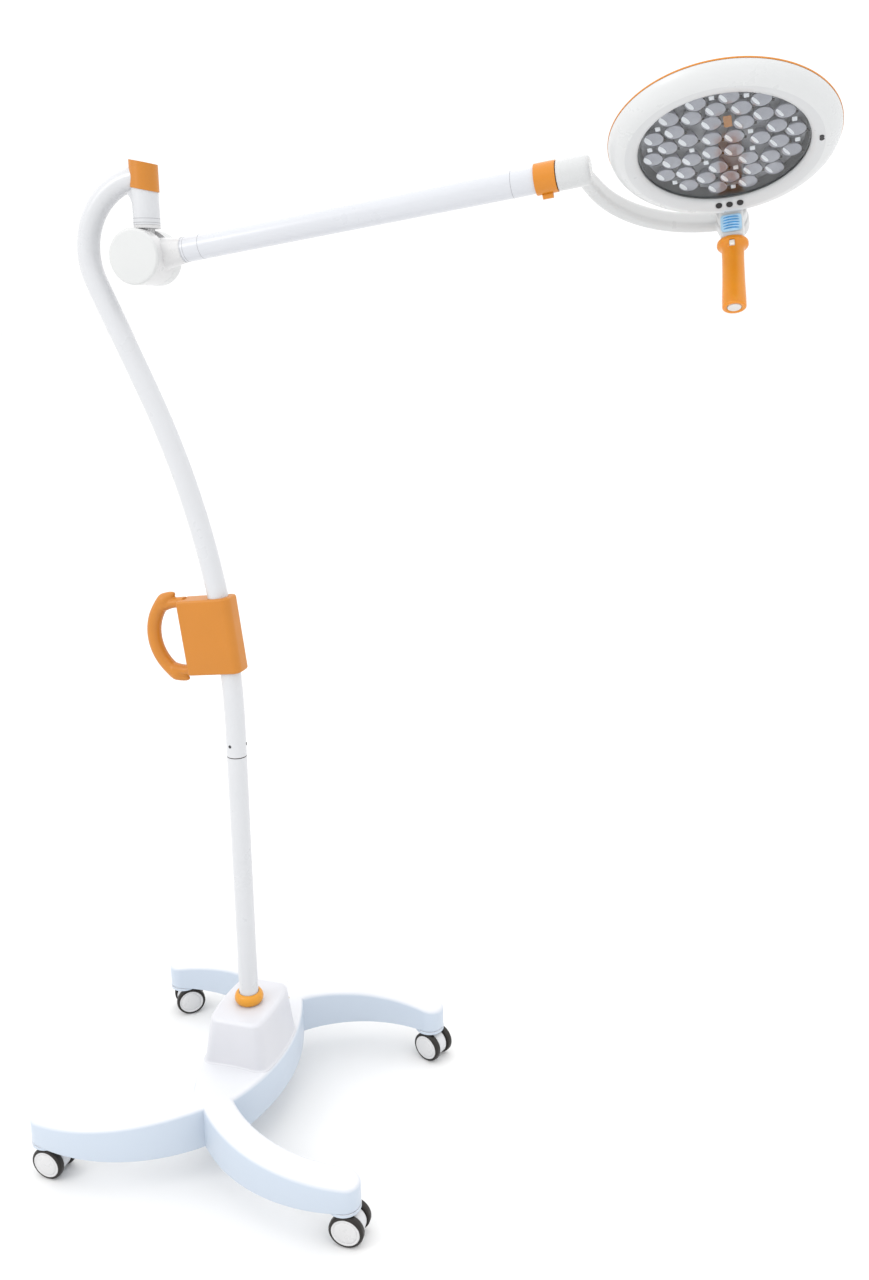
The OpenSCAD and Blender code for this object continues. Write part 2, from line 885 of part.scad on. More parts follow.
base_cover();
base_frame();
ballast();
bottom_cover();
caster_stems();
pedestal_cover();
battery_pack();
power_supply();
mains_inlet();
power_switch();
earth_stud();
base_collar();
lower_pole();
pole_spigot();
set_screws();
swan_neck();
clamp_bracket();
push_grip();
post_cap();
swivel_spindle();
swivel_bushes();
knuckle();
pivot_pin();
arm_root();
drum_covers();
arm_tube();
balance_spring();
arm_collar();
roll_bearing();
yoke();
tilt_pin();
head_neck();
touch_pad();
rear_housing();
trim_ring();
bezel();
front_glass();
recess_ring();
lens_array();
led_board();
heat_sink();
button_power();
button_brighter();
button_dimmer();
sensor_window();
handle_core();
sterile_handle();
handle_catch();
caster_fork(0);  // caster_fl_fork
caster_wheel(0, -1);  // caster_fl_wheel_a
caster_wheel(0, 1);  // caster_fl_wheel_b
caster_fork(1);  // caster_fr_fork
caster_wheel(1, -1);  // caster_fr_wheel_a
caster_wheel(1, 1);  // caster_fr_wheel_b
caster_fork(2);  // caster_rl_fork
caster_wheel(2, -1);  // caster_rl_wheel_a
caster_wheel(2, 1);  // caster_rl_wheel_b
caster_fork(3);  // caster_rr_fork
caster_wheel(3, -1);  // caster_rr_wheel_a
caster_wheel(3, 1);  // caster_rr_wheel_b
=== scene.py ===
import json
import math

import bmesh
import bpy
from mathutils import Matrix, Vector, geometry


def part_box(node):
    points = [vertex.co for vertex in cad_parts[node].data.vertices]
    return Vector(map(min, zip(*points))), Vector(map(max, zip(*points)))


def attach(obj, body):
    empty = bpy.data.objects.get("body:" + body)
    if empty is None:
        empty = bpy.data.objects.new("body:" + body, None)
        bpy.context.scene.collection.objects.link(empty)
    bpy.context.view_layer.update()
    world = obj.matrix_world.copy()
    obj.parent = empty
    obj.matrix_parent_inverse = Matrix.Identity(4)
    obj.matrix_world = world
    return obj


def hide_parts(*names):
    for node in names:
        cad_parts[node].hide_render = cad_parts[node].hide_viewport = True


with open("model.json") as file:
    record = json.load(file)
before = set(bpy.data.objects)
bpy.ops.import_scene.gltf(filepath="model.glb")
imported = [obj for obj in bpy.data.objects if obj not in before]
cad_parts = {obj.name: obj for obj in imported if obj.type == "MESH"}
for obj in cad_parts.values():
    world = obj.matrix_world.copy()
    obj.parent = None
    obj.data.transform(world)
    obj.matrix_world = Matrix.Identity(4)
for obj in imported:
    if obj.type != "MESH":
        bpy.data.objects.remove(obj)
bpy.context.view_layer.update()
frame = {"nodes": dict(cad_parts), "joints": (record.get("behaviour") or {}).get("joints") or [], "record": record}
NODES = frame["nodes"]
JOINTS = {joint["name"]: joint for joint in frame["joints"]}
MM = 0.001


# ---------- Camera ----------

# Lens in mm for 36 mm of film, angles in degrees, place in metres with its height below the arm's pivot.
CAMERA_LENS = 31.87
CAMERA_TURN, CAMERA_PITCH, CAMERA_ROLL = 15.955, 16.225, 0.08
CAMERA_X, CAMERA_Y, CAMERA_DROP = 0.9053, -1.8121, 0.085


def make_camera():
    """The photograph's viewpoint."""
    data = bpy.data.cameras.new("camera")
    data.lens = CAMERA_LENS
    data.clip_end = 100
    camera = bpy.data.objects.new("camera", data)
    bpy.context.scene.collection.objects.link(camera)
    turn, pitch, roll = (math.radians(a) for a in (CAMERA_TURN, CAMERA_PITCH, CAMERA_ROLL))
    pivot = joint_origin("arm_pitch")
    place = Matrix.Translation((CAMERA_X, CAMERA_Y, pivot.z - CAMERA_DROP))
    camera.matrix_world = (place @ Matrix.Rotation(turn, 4, "Z")
                           @ Matrix.Rotation(math.pi / 2 - pitch, 4, "X")
                           @ Matrix.Rotation(roll, 4, "Z"))
    bpy.context.scene.camera = camera


# ---------- Materials ----------

class Shader:
    """A Principled material with helpers that add nodes for colour, roughness and bump."""

    def __init__(self, name, color, roughness=0.4, metallic=0.0, **sockets):
        self.material = bpy.data.materials.new(name)
        self.material.use_nodes = True
        self.tree = self.material.node_tree
        self.shader = self.tree.nodes["Principled BSDF"]
        self.shader.inputs["Metallic"].default_value = metallic
        self.base = (*color, 1.0)
        self.roughness = roughness
        self.shader.inputs["Base Color"].default_value = self.base
        self.shader.inputs["Roughness"].default_value = roughness
        for key, value in sockets.items():
            self.shader.inputs[key.replace("_", " ")].default_value = value
        self.coords = self.tree.nodes.new("ShaderNodeTexCoord").outputs["Object"]
        self.height = None
        self.color_output = self.base

    def link(self, a, b):
        """Joins an output to an input."""
        self.tree.links.new(a, b)

    def noise(self, size, detail=3.0, stretch=None):
        """Noise whose features are about the given size, in metres."""
        node = self.tree.nodes.new("ShaderNodeTexNoise")
        node.inputs["Scale"].default_value = 1.0 / size
        node.inputs["Detail"].default_value = detail
        node.inputs["Roughness"].default_value = 0.55
        source = self.coords
        if stretch:
            mapping = self.tree.nodes.new("ShaderNodeMapping")
            mapping.inputs["Scale"].default_value = stretch
            self.link(source, mapping.inputs["Vector"])
            source = mapping.outputs["Vector"]
        self.link(source, node.inputs["Vector"])
        return node.outputs["Fac"]

    def ramp(self, value, low, high, out_low, out_high):
        """The value, stretched from low..high to out_low..out_high and clamped."""
        node = self.tree.nodes.new("ShaderNodeMapRange")
        for key, number in (("From Min", low), ("From Max", high), ("To Min", out_low), ("To Max", out_high)):
            node.inputs[key].default_value = number
        self.link(value, node.inputs["Value"])
        return node.outputs["Result"]

    def mix(self, factor, first, second):
        """A blend of two colours, each a tuple or a node's output."""
        node = self.tree.nodes.new("ShaderNodeMix")
        node.data_type = "RGBA"
        self.link(factor, node.inputs["Factor"])
        for socket, value in zip((node.inputs[6], node.inputs[7]), (first, second)):
            if isinstance(value, tuple):
                socket.default_value = (*value[:3], 1.0)
            else:
                self.link(value, socket)
        return node.outputs[2]

    def vary(self, amount, size):
        """Slow, faint variation of the colour."""
        dark = tuple(max(0.0, c * (1 - amount)) for c in self.base[:3])
        factor = self.ramp(self.noise(size), 0.3, 0.7, 0.0, 1.0)
        self.color(self.mix(factor, self.base, dark))
        return self

    def color(self, output):
        """Sets the base colour from a node's output."""
        self.link(output, self.shader.inputs["Base Color"])
        self.color_output = output

    def uneven(self, amount, size):
        """Patches of slightly different gloss."""
        low, high = self.roughness - amount, self.roughness + amount
        value = self.ramp(self.noise(size, 4.0), 0.3, 0.7, low, high)
        self.link(value, self.shader.inputs["Roughness"])
        return self

    def grain(self, size, depth, detail=2.0, stretch=None):
        """Fine bump of the given size and depth, in metres."""
        bump = self.tree.nodes.new("ShaderNodeBump")
        bump.inputs["Distance"].default_value = depth
        bump.inputs["Strength"].default_value = 1.0
        self.link(self.noise(size, detail, stretch=stretch), bump.inputs["Height"])
        if self.height:
            self.link(self.height, bump.inputs["Normal"])
        self.height = bump.outputs["Normal"]
        self.link(self.height, self.shader.inputs["Normal"])
        return self

    def paint_side_shade(self, color):
        """Painted shade: a second, darker and bluer colour where the surface faces sideways, standing in for the
        sides getting less light than the top.
        """
        split = self.tree.nodes.new("ShaderNodeSeparateXYZ")
        self.link(self.tree.nodes.new("ShaderNodeNewGeometry").outputs["Normal"], split.inputs[0])
        # How far the surface faces up: 1 keeps the top's colour, 0 gives the painted side shade.
        upward = self.ramp(split.outputs["Z"], 0.15, 0.8, 0.0, 1.0)
        self.color(self.mix(upward, color, self.color_output))
        return self


def plastic(name, color, roughness=0.32, grain=0.00004, vary=0.03):
    """Moulded plastic with a fine grain."""
    made = Shader(name, color, roughness, Specular_IOR_Level=0.5)
    return made.vary(vary, 0.09).uneven(0.05, 0.03).grain(0.0012, grain)


def powder_coat(name, color):
    """Powder-coated metal with a slight orange peel."""
    made = Shader(name, color, 0.30, Coat_Weight=0.25, Coat_Roughness=0.15)
    return made.vary(0.025, 0.12).uneven(0.04, 0.04).grain(0.0022, 0.00005)


def metal(name, color, roughness):
    """Bare metal, with brushing that is finest along Z."""
    made = Shader(name, color, roughness, 1.0)
    return made.vary(0.12, 0.02).uneven(0.08, 0.01).grain(0.0015, 0.00002, stretch=(1, 1, 12))


def rubber(name, color, roughness=0.6):
    """Rubber or silicone, duller and blotchier than plastic."""
    made = Shader(name, color, roughness, Specular_IOR_Level=0.4)
    return made.vary(0.25, 0.01).uneven(0.1, 0.01).grain(0.0008, 0.00006, 4.0)


MATERIALS = {
    # base_white's sides get a painted shade, darker and bluer than its top.
    "base_white": plastic("base_white", (0.66, 0.67, 0.70), 0.36).paint_side_shade((0.50, 0.565, 0.65)),
    "box_white": plastic("box_white", (0.60, 0.605, 0.64), 0.34),
    "chassis_steel": metal("chassis_steel", (0.55, 0.56, 0.58), 0.42),
    "ballast_iron": Shader("ballast_iron", (0.09, 0.09, 0.10), 0.7, 0.6)
                    .vary(0.3, 0.01).grain(0.002, 0.0004, 5.0),
    "battery_blue": plastic("battery_blue", (0.03, 0.04, 0.07), 0.5, 0.0001),
    "supply_grey": plastic("supply_grey", (0.25, 0.27, 0.27), 0.5),
    "black_plastic": plastic("black_plastic", (0.015, 0.015, 0.016), 0.42, 0.00009, 0.2),
    "stud_brass": metal("stud_brass", (0.72, 0.66, 0.50), 0.25),
    "collar_amber": plastic("collar_amber", (0.64, 0.27, 0.012), 0.35),
    "pole_white": powder_coat("pole_white", (0.58, 0.59, 0.61)),
    "joint_dark": plastic("joint_dark", (0.03, 0.022, 0.02), 0.5),
    "screw_steel": metal("screw_steel", (0.08, 0.08, 0.085), 0.45),
    "grip_orange": plastic("grip_orange", (0.53, 0.19, 0.012), 0.42, 0.00006, 0.06),
    "bush_bronze": metal("bush_bronze", (0.50, 0.34, 0.15), 0.4),
    "pin_steel": metal("pin_steel", (0.62, 0.63, 0.65), 0.22),
    "joint_white": powder_coat("joint_white", (0.60, 0.60, 0.605)),
    "cover_white": plastic("cover_white", (0.60, 0.61, 0.61), 0.33),
    "arm_white": powder_coat("arm_white", (0.58, 0.595, 0.63)),
    "spring_steel": metal("spring_steel", (0.35, 0.35, 0.37), 0.35),
    "collar_orange": plastic("collar_orange", (0.60, 0.21, 0.008), 0.36),
    "bearing_dark": plastic("bearing_dark", (0.02, 0.02, 0.022), 0.5),
    "yoke_white": powder_coat("yoke_white", (0.56, 0.57, 0.575)),
    "head_white": plastic("head_white", (0.63, 0.64, 0.645), 0.30, 0.00003, 0.02),
    "pad_blue": rubber("pad_blue", (0.42, 0.66, 0.86), 0.5),
    "window_glass": Shader("window_glass", (0.95, 0.97, 0.98), 0.04, IOR=1.33, Transmission_Weight=1.0)
                    .grain(0.02, 0.00002),
    "recess_grey": plastic("recess_grey", (0.085, 0.09, 0.095), 0.38),
    "lens_clear": Shader("lens_clear", (0.36, 0.36, 0.42), 0.12, IOR=1.49, Coat_Weight=1.0,
                         Coat_Roughness=0.03)
                  .vary(0.12, 0.012).grain(0.004, 0.00005),
    "board_grey": plastic("board_grey", (0.20, 0.20, 0.23), 0.3),
    "sink_aluminium": metal("sink_aluminium", (0.60, 0.61, 0.62), 0.4),
    "button_dark": rubber("button_dark", (0.018, 0.018, 0.020), 0.45),
    "sensor_dark": plastic("sensor_dark", (0.010, 0.010, 0.012), 0.12, 0.00001),
    "core_white": powder_coat("core_white", (0.64, 0.62, 0.59)),
    "sleeve_orange": Shader("sleeve_orange", (0.70, 0.245, 0.004), 0.36, Subsurface_Weight=0.15,
                            Subsurface_Scale=0.004)
                     .vary(0.05, 0.02).uneven(0.05, 0.01).grain(0.001, 0.00004),
    "catch_white": plastic("catch_white", (0.82, 0.80, 0.74), 0.35),
    "fork_white": plastic("fork_white", (0.60, 0.61, 0.63), 0.38),
    "wheel_tyre": rubber("wheel_tyre", (0.012, 0.009, 0.007), 0.42),
    "hub_cap": plastic("hub_cap", (0.62, 0.62, 0.625), 0.30),
    "bezel_face": plastic("bezel_face", (0.57, 0.58, 0.59), 0.32, 0.00003, 0.02),
    "surround_grey": plastic("surround_grey", (0.55, 0.56, 0.57), 0.4),
    # Dark of the crescent beside each lens: partly the gap's own dark, partly painted shadow.
    "lens_shadow_rim": plastic("lens_shadow_rim", (0.035, 0.035, 0.04), 0.35),
    # White of the lens glints, which are painted highlights; the LED chips use it as their own white.
    "lens_glint": plastic("lens_glint", (0.93, 0.94, 0.97), 0.15, 0.00001, 0.01),
    "lens_plate": plastic("lens_plate", (0.36, 0.36, 0.39), 0.3),
    # Orange of a painted warm reflection among the lenses.
    "painted_warm_reflection": plastic("painted_warm_reflection", (0.50, 0.20, 0.04), 0.35),
    "pad_blue_deep": rubber("pad_blue_deep", (0.05, 0.30, 0.66), 0.5),
    "seam_grey": plastic("seam_grey", (0.22, 0.22, 0.24), 0.5),
}


def dress_cad_nodes():
    """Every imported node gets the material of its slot."""
    for row in frame["record"]["subparts"]:
        node = NODES[row["node"]]
        made = MATERIALS[row["material_slot"]].material
        node.data.materials.clear()
        node.data.materials.append(made)


# ---------- Shape helpers ----------

def arc(cx, cy, radius, start, end, steps):
    """Points of an arc, with angles in degrees."""
    turns = [math.radians(start + (end - start) * i / steps) for i in range(steps + 1)]
    return [(cx + radius * math.cos(t), cy + radius * math.sin(t)) for t in turns]


def circle(radius, count):
    """Evenly spaced points (x, y) round a circle."""
    return [(radius * math.cos(2 * math.pi * k / count), radius * math.sin(2 * math.pi * k / count))
            for k in range(count)]


def polar(radius, degrees):
    """The point (x, y) at a radius and an angle."""
    return radius * math.cos(math.radians(degrees)), radius * math.sin(math.radians(degrees))


def corner_arcs(half_x, half_y, radius, steps):
    """A rounded rectangle, from the middles of its corners."""
    loop = []
    for side_x, side_y, start in ((1, 1, 0), (-1, 1, 90), (-1, -1, 180), (1, -1, 270)):
        loop += arc(side_x * half_x, side_y * half_y, radius, start, start + 90, steps)
    return loop


def frame_matrix(origin, x, y):
    """A frame at origin whose X and Y point along x and y."""
    x, y = Vector(x).normalized(), Vector(y).normalized()
    z = x.cross(y)
    return Matrix.Translation(origin) @ Matrix((x, y, z)).transposed().to_4x4()


def joint_origin(name):
    """Where a joint turns at rest, in metres."""
    return Vector(JOINTS[name]["pos_m"])


def joint_axis(name):
    """A joint's direction at rest."""
    return Vector(JOINTS[name]["axis"])


def heights_along(node, place):
    """Lowest and highest point of a node along a frame's Z, in millimetres."""
    into = place.inverted()
    values = [(into @ v.co).z / MM for v in NODES[node].data.vertices]
    return min(values), max(values)


ARM_X = joint_axis("yoke_roll")
TILT = joint_axis("head_tilt")
LIGHT = joint_axis("handle_release")
HEAD = frame_matrix(joint_origin("head_tilt"), LIGHT.cross(TILT), TILT)
YOKE = frame_matrix(joint_origin("head_tilt"), ARM_X, TILT)
DRUM = frame_matrix(joint_origin("arm_pitch"), ARM_X, (0, 1, 0))
HANDLE_FROM_HEAD = 188
HANDLE = HEAD @ Matrix.Translation((0, HANDLE_FROM_HEAD * MM, 0))


def build(name, points, faces, slot, body, replaces=(), place=Matrix(), sharp=35, material=None):
    """A mesh piece from points in millimetres, dressed in its slot's material and riding on its body."""
    mesh = bpy.data.meshes.new(name)
    mesh.from_pydata([place @ (Vector(p) * MM) for p in points], [], faces)
    piece = bpy.data.objects.new(name, mesh)
    bpy.context.scene.collection.objects.link(piece)
    return dress(piece, slot, body, replaces, sharp, material)


def dress(piece, slot, body, replaces=(), sharp=35, material=None):
    """Closes the mesh's joins, smooths its faces, gives it a material and puts it on its body."""
    mesh = piece.data
    joined = bmesh.new()
    joined.from_mesh(mesh)
    bmesh.ops.remove_doubles(joined, verts=joined.verts, dist=1e-6)
    bmesh.ops.recalc_face_normals(joined, faces=joined.faces)
    joined.to_mesh(mesh)
    joined.free()
    mesh.materials.clear()
    mesh.materials.append(MATERIALS[material or slot].material)
    for face in mesh.polygons:
        face.use_smooth = True
    mesh.set_sharp_from_angle(angle=math.radians(sharp))
    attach(piece, body)
    if replaces:
        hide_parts(*replaces)
    return piece


def band_faces(rows, count):
    """Quads between closed rows of count points each."""
    faces = []
    for start in range(0, (rows - 1) * count, count):
        for i in range(count):
            after = (i + 1) % count
            faces.append((start + i, start + after, start + count + after, start + count + i))
    return faces


def loft(rings, cap_start=True, cap_end=True, close=False):
    """Points and faces of a skin through rings with equal numbers of points."""
    count = len(rings[0])
    points = [p for ring in rings for p in ring]
    faces = band_faces(len(rings), count)
    if close:
        base = (len(rings) - 1) * count
        faces += [(base + i, base + (i + 1) % count, (i + 1) % count, i) for i in range(count)]
        return points, faces
    if cap_start:
        faces.append(tuple(range(count))[::-1])
    if cap_end:
        faces.append(tuple((len(rings) - 1) * count + i for i in range(count)))
    return points, faces


def lathe(name, profile, slot, body, replaces=(), place=Matrix(), segments=96, **more):
    """A solid of revolution about Z. profile is a list of (radius, height) in millimetres."""
    rings = [[(x, y, height) for x, y in circle(max(radius, 1e-4), segments)] for radius, height in profile]
    points, faces = loft(rings, close=True)
    return build(name, points, faces, slot, body, replaces, place, **more)


def sweep(path, radii, sides=24, squash=1.0):
    """Rings of a round bar along path, kept from twisting. squash flattens it along its second direction."""
    points = [Vector(p) for p in path]
    rings = []
    normal = None
    for i, point in enumerate(points):
        ahead = points[min(i + 1, len(points) - 1)] - points[max(i - 1, 0)]
        ahead.normalize()
        if normal is None:
            normal = Vector((0, 1, 0))
        normal = (normal - ahead * normal.dot(ahead)).normalized()
        side = ahead.cross(normal)
        radius = radii[i]
        rings.append([tuple(point + (normal * math.cos(t) * radius * squash + side * math.sin(t) * radius))
                      for t in (2 * math.pi * k / sides for k in range(sides))])
    return rings


def offset_loop(loop, distance):
    """A closed loop of (x, y) moved inward by distance, with mitred corners. The loop runs anticlockwise."""
    moved = []
    count = len(loop)
    for i in range(count):
        before, here, after = (Vector(loop[(i + k) % count]) for k in (-1, 0, 1))
        first = (here - before).normalized()
        second = (after - here).normalized()
        inward = Vector((-first.y - second.y, first.x + second.x))
        inward.normalize()
        share = max(0.5, inward.dot(Vector((-second.y, second.x))))
        moved.append(tuple(here + inward * (distance / share)))
    return moved


def fill_loop(loop, height, spacing):
    """Triangles over the inside of a loop, on the surface height(x, y)."""
    xs = [p[0] for p in loop]
    ys = [p[1] for p in loop]
    points = [Vector(p) for p in loop]
    edges = [(i, (i + 1) % len(loop)) for i in range(len(loop))]
    x = min(xs) + spacing / 2
    while x < max(xs):
        y = min(ys) + spacing / 2
        while y < max(ys):
            points.append(Vector((x, y)))
            y += spacing
        x += spacing
    verts, _, faces, _, _, _ = geometry.delaunay_2d_cdt(points, edges, [], 1, 1e-4)
    return [(v.x, v.y, height(v.x, v.y)) for v in verts], [tuple(f) for f in faces]


def join_parts(*parts):
    """Several (points, faces) pairs as one."""
    points, faces = [], []
    for more_points, more_faces in parts:
        start = len(points)
        points += list(more_points)
        faces += [tuple(start + i for i in face) for face in more_faces]
    return points, faces


def rounded_box(size, radius, place=Matrix(), steps=4):
    """Points and faces of a box with rounded edges, centred at the frame's origin."""
    box = bmesh.new()
    bmesh.ops.create_cube(box, size=1.0)
    bmesh.ops.scale(box, vec=size, verts=box.verts)
    bmesh.ops.bevel(box, geom=box.edges[:] + box.verts[:], offset=radius, segments=steps, profile=0.5,
                    affect="EDGES", clamp_overlap=True)
    box.verts.ensure_lookup_table()
    points = [tuple(place @ v.co) for v in box.verts]
    faces = [tuple(v.index for v in f.verts) for f in box.faces]
    box.free()
    return points, faces


def apply_modifiers(piece):
    """Bakes a piece's modifiers into its mesh."""
    evaluated = piece.evaluated_get(bpy.context.evaluated_depsgraph_get())
    mesh = bpy.data.meshes.new_from_object(evaluated)
    piece.modifiers.clear()
    piece.data = mesh


def melt(piece, voxel, rounds):
    """Joins overlapping closed shapes into one skin and softens its edges."""
    remesh = piece.modifiers.new("remesh", "REMESH")
    remesh.mode = "VOXEL"
    remesh.voxel_size = voxel
    remesh.use_smooth_shade = True
    smooth = piece.modifiers.new("smooth", "SMOOTH")
    smooth.factor = 0.5
    smooth.iterations = rounds
    apply_modifiers(piece)


def cut(piece, cutter_parts):
    """Takes boxes, given as (points, faces) in metres, out of a closed piece."""
    points, faces = join_parts(*cutter_parts)
    mesh = bpy.data.meshes.new("cutter")
    mesh.from_pydata(points, [], faces)
    cutter = bpy.data.objects.new("cutter", mesh)
    bpy.context.scene.collection.objects.link(cutter)
    boolean = piece.modifiers.new("cut", "BOOLEAN")
    boolean.operation = "DIFFERENCE"
    boolean.solver = "EXACT"
    boolean.object = cutter
    apply_modifiers(piece)
    bpy.data.objects.remove(cutter)


# ---------- Base ----------

# A leg is an arc of width w on radius r round (cx, cy), up to x = tip_x. The middle part's bulging sides meet
# the inner edges of the legs at LEG_INNER_MEET_Y. All in millimetres.
LEG = {"cx": 229, "cy": -9, "r": 289, "w": 60, "tip_x": 300}
LEG_INNER_MEET_Y = 170.5
MIDDLE_HALF_W = 78.6
MIDDLE_SIDE_R = 420
BOX_REAR = 82
BASE_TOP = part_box("base_cover")[1].z / MM
BASE_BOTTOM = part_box("base_cover")[0].z / MM
BOX_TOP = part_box("pedestal_cover")[1].z / MM
TIP_DROP = 33


def base_top(x, y=0):
    """Height of the crowned top, which falls from the middle to the tips."""
    crown = 40  # how gently the top bends over at the middle
    slope = TIP_DROP / (math.hypot(LEG["tip_x"], crown) - crown)
    return BASE_TOP - slope * (math.hypot(x, crown) - crown)


def base_outline():
    """The whole outline of the base, anticlockwise, from one quarter mirrored three times."""
    cx, cy, r, half = LEG["cx"], LEG["cy"], LEG["r"], LEG["w"] / 2
    tip_y = cy + math.sqrt(r ** 2 - (LEG["tip_x"] - cx) ** 2)
    tip_turn = math.degrees(math.atan2(tip_y - cy, LEG["tip_x"] - cx))
    side = [(MIDDLE_HALF_W - MIDDLE_SIDE_R + math.sqrt(MIDDLE_SIDE_R ** 2 - y * y), y)
            for y in (LEG_INNER_MEET_Y * i / 20 for i in range(21))]
    meet = side[-1]
    start = math.degrees(math.atan2(meet[1] - cy, meet[0] - cx))
    inner = arc(cx, cy, r - half, start, tip_turn, 40)[1:]
    tip = arc(LEG["tip_x"], tip_y, half, tip_turn - 180, tip_turn, 28)[1:-1]
    end = math.degrees(math.acos(-cx / (r + half)))  # where the outer edge reaches x = 0
    outer = arc(cx, cy, r + half, tip_turn, end, 48)
    quarter = side + inner + tip + outer
    back = [(-x, y) for x, y in reversed(quarter)][1:]
    half_loop = quarter + back
    front = [(x, -y) for x, y in reversed(half_loop)][1:-1]
    return half_loop + front


def make_base():
    """The moulded base: a skin from inside its rim, round the foot, up the side and over the crowned top."""
    edge, foot, wall, lip = 9, 3, 4, 12
    outline = base_outline()
    rings = []
    for lift, inset in ((lip, wall), (0, wall), (0, foot)):
        rings.append([(x, y, BASE_BOTTOM + lift) for x, y in offset_loop(outline, inset)])
    for x_in, z_up in arc(foot, foot, foot, 270, 180, 4)[1:]:
        rings.append([(x, y, BASE_BOTTOM + z_up) for x, y in offset_loop(outline, x_in)])
    for x_in, z_down in ((edge - edge * math.cos(t), edge - edge * math.sin(t))
                         for t in (math.radians(a) for a in range(0, 91, 10))):
        rings.append([(x, y, base_top(x) - z_down) for x, y in offset_loop(outline, x_in)])
    skin = loft(rings, False, False)
    cap = fill_loop(offset_loop(outline, edge), base_top, spacing=12)
    points, faces = join_parts(skin, cap)
    build("base_shell", points, faces, "base_white", "base", ("base_cover",), sharp=50)


def box_outline(t):
    """Section of the battery box at height t from 0, its foot, to 1, its top."""
    side_r = MIDDLE_SIDE_R - 14 * t
    front, rear = -86 + 10 * t, BOX_REAR
    side_middle, corner = -348, 20

    def side(y):
        """How far the bulging side reaches at y."""
        return side_middle + math.sqrt(side_r ** 2 - y * y)

    right = [(side(y), y) for y in (front + corner + (rear - front - 2 * corner) * i / 24 for i in range(25))]

    def turn(start, middle, end):
        """A rounded corner between two points."""
        return [tuple(Vector(start) * (1 - s) ** 2 + Vector(middle) * 2 * s * (1 - s) + Vector(end) * s * s)
                for s in (i / 9 for i in range(1, 9))]

    rear_corner = (side(rear), rear)
    front_corner = (side(front), front)
    loop = list(right)
    loop += turn(right[-1], rear_corner, (rear_corner[0] - corner, rear))
    loop += [((rear_corner[0] - corner) * (1 - 2 * i / 12), rear) for i in range(13)]
    loop += turn((-rear_corner[0] + corner, rear), (-rear_corner[0], rear), (-right[-1][0], right[-1][1]))
    loop += [(-x, y) for x, y in reversed(right)]
    loop += turn((-right[0][0], right[0][1]), (-front_corner[0], front), (-front_corner[0] + corner, front))
    loop += [((front_corner[0] - corner) * (2 * i / 12 - 1), front) for i in range(13)]
    loop += turn((front_corner[0] - corner, front), front_corner, right[0])
    return loop


def make_battery_box():
    """The cover of the battery box, with openings for the inlet and the switch in its rear wall."""
    top, edge, fillet, sunk = BOX_TOP, 8, 4, 14
    rings = [[(x, y, base_top(x) - sunk) for x, y in offset_loop(box_outline(0), -fillet)]]
    for a in range(0, 91, 15):
        out = fillet * (1 - math.sin(math.radians(a)))
        up = fillet * (1 - math.cos(math.radians(a)))
        rings.append([(x, y, base_top(x) + up) for x, y in offset_loop(box_outline(0), -out)])
    for t in (0.15, 0.3, 0.45, 0.6, 0.75):
        rings.append([(x, y, BASE_TOP + t * (top - BASE_TOP)) for x, y in box_outline(t)])
    for a in range(0, 91, 10):
        inward = edge * (1 - math.cos(math.radians(a)))
        z = top - edge * (1 - math.sin(math.radians(a)))
        t = min(1.0, (z - BASE_TOP) / (top - BASE_TOP))
        rings.append([(x, y, z) for x, y in offset_loop(box_outline(t), inward)])
    points, faces = loft(rings)
    piece = build("battery_box_cover", points, faces, "box_white", "base", ("pedestal_cover",), sharp=60)
    inlet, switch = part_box("mains_inlet"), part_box("power_switch")
    pockets = []
    for low, high, margin in ((inlet[0], inlet[1], -1.3), (switch[0], switch[1], 0.5)):
        middle = (low + high) / 2
        size = Vector((high.x - low.x + 2 * margin * MM, 60 * MM, high.z - low.z + 2 * margin * MM))
        middle.y = BOX_REAR * MM
        pockets.append(rounded_box(size, 0.5 * MM, Matrix.Translation(middle), 2))
    cut(piece, pockets)
    dress(piece, "box_white", "base", ("pedestal_cover",), 60)


def make_base_collar():
    """The amber doughnut where the pole enters the box, a little lower than its CAD ring."""
    lower, ring_r, ring_w = 4, 20.0, 8.6
    foot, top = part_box("base_collar")[0].z / MM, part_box("base_collar")[1].z / MM
    middle, bulge = (foot + top - lower) / 2, (top - foot - lower) / 2
    profile = [(19.3, foot), (22, foot)]
    profile += [(ring_r + ring_w * math.cos(math.radians(a)), middle + bulge * math.sin(math.radians(a)))
                for a in range(-80, 100, 10)]
    profile += [(19.4, middle + bulge - 1.5)]
    lathe("pole_collar", profile, "collar_amber", "base", ("base_collar",))


# ---------- Casters ----------

WHEEL_R = joint_origin("wheel_fl_a_roll").z / MM
BOSS_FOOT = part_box("bottom_cover")[0].z / MM


def caster_frame(caster, wheel):
    """Frame of a wheel with its axle along Z, pointing outward."""
    name = f"wheel_{caster}_{wheel}_roll"
    axle = joint_axis(name)
    if wheel == "a":
        axle = -axle
    side = Vector((0, 0, 1)).cross(axle)
    return frame_matrix(joint_origin(name), side, Vector((0, 0, 1)))


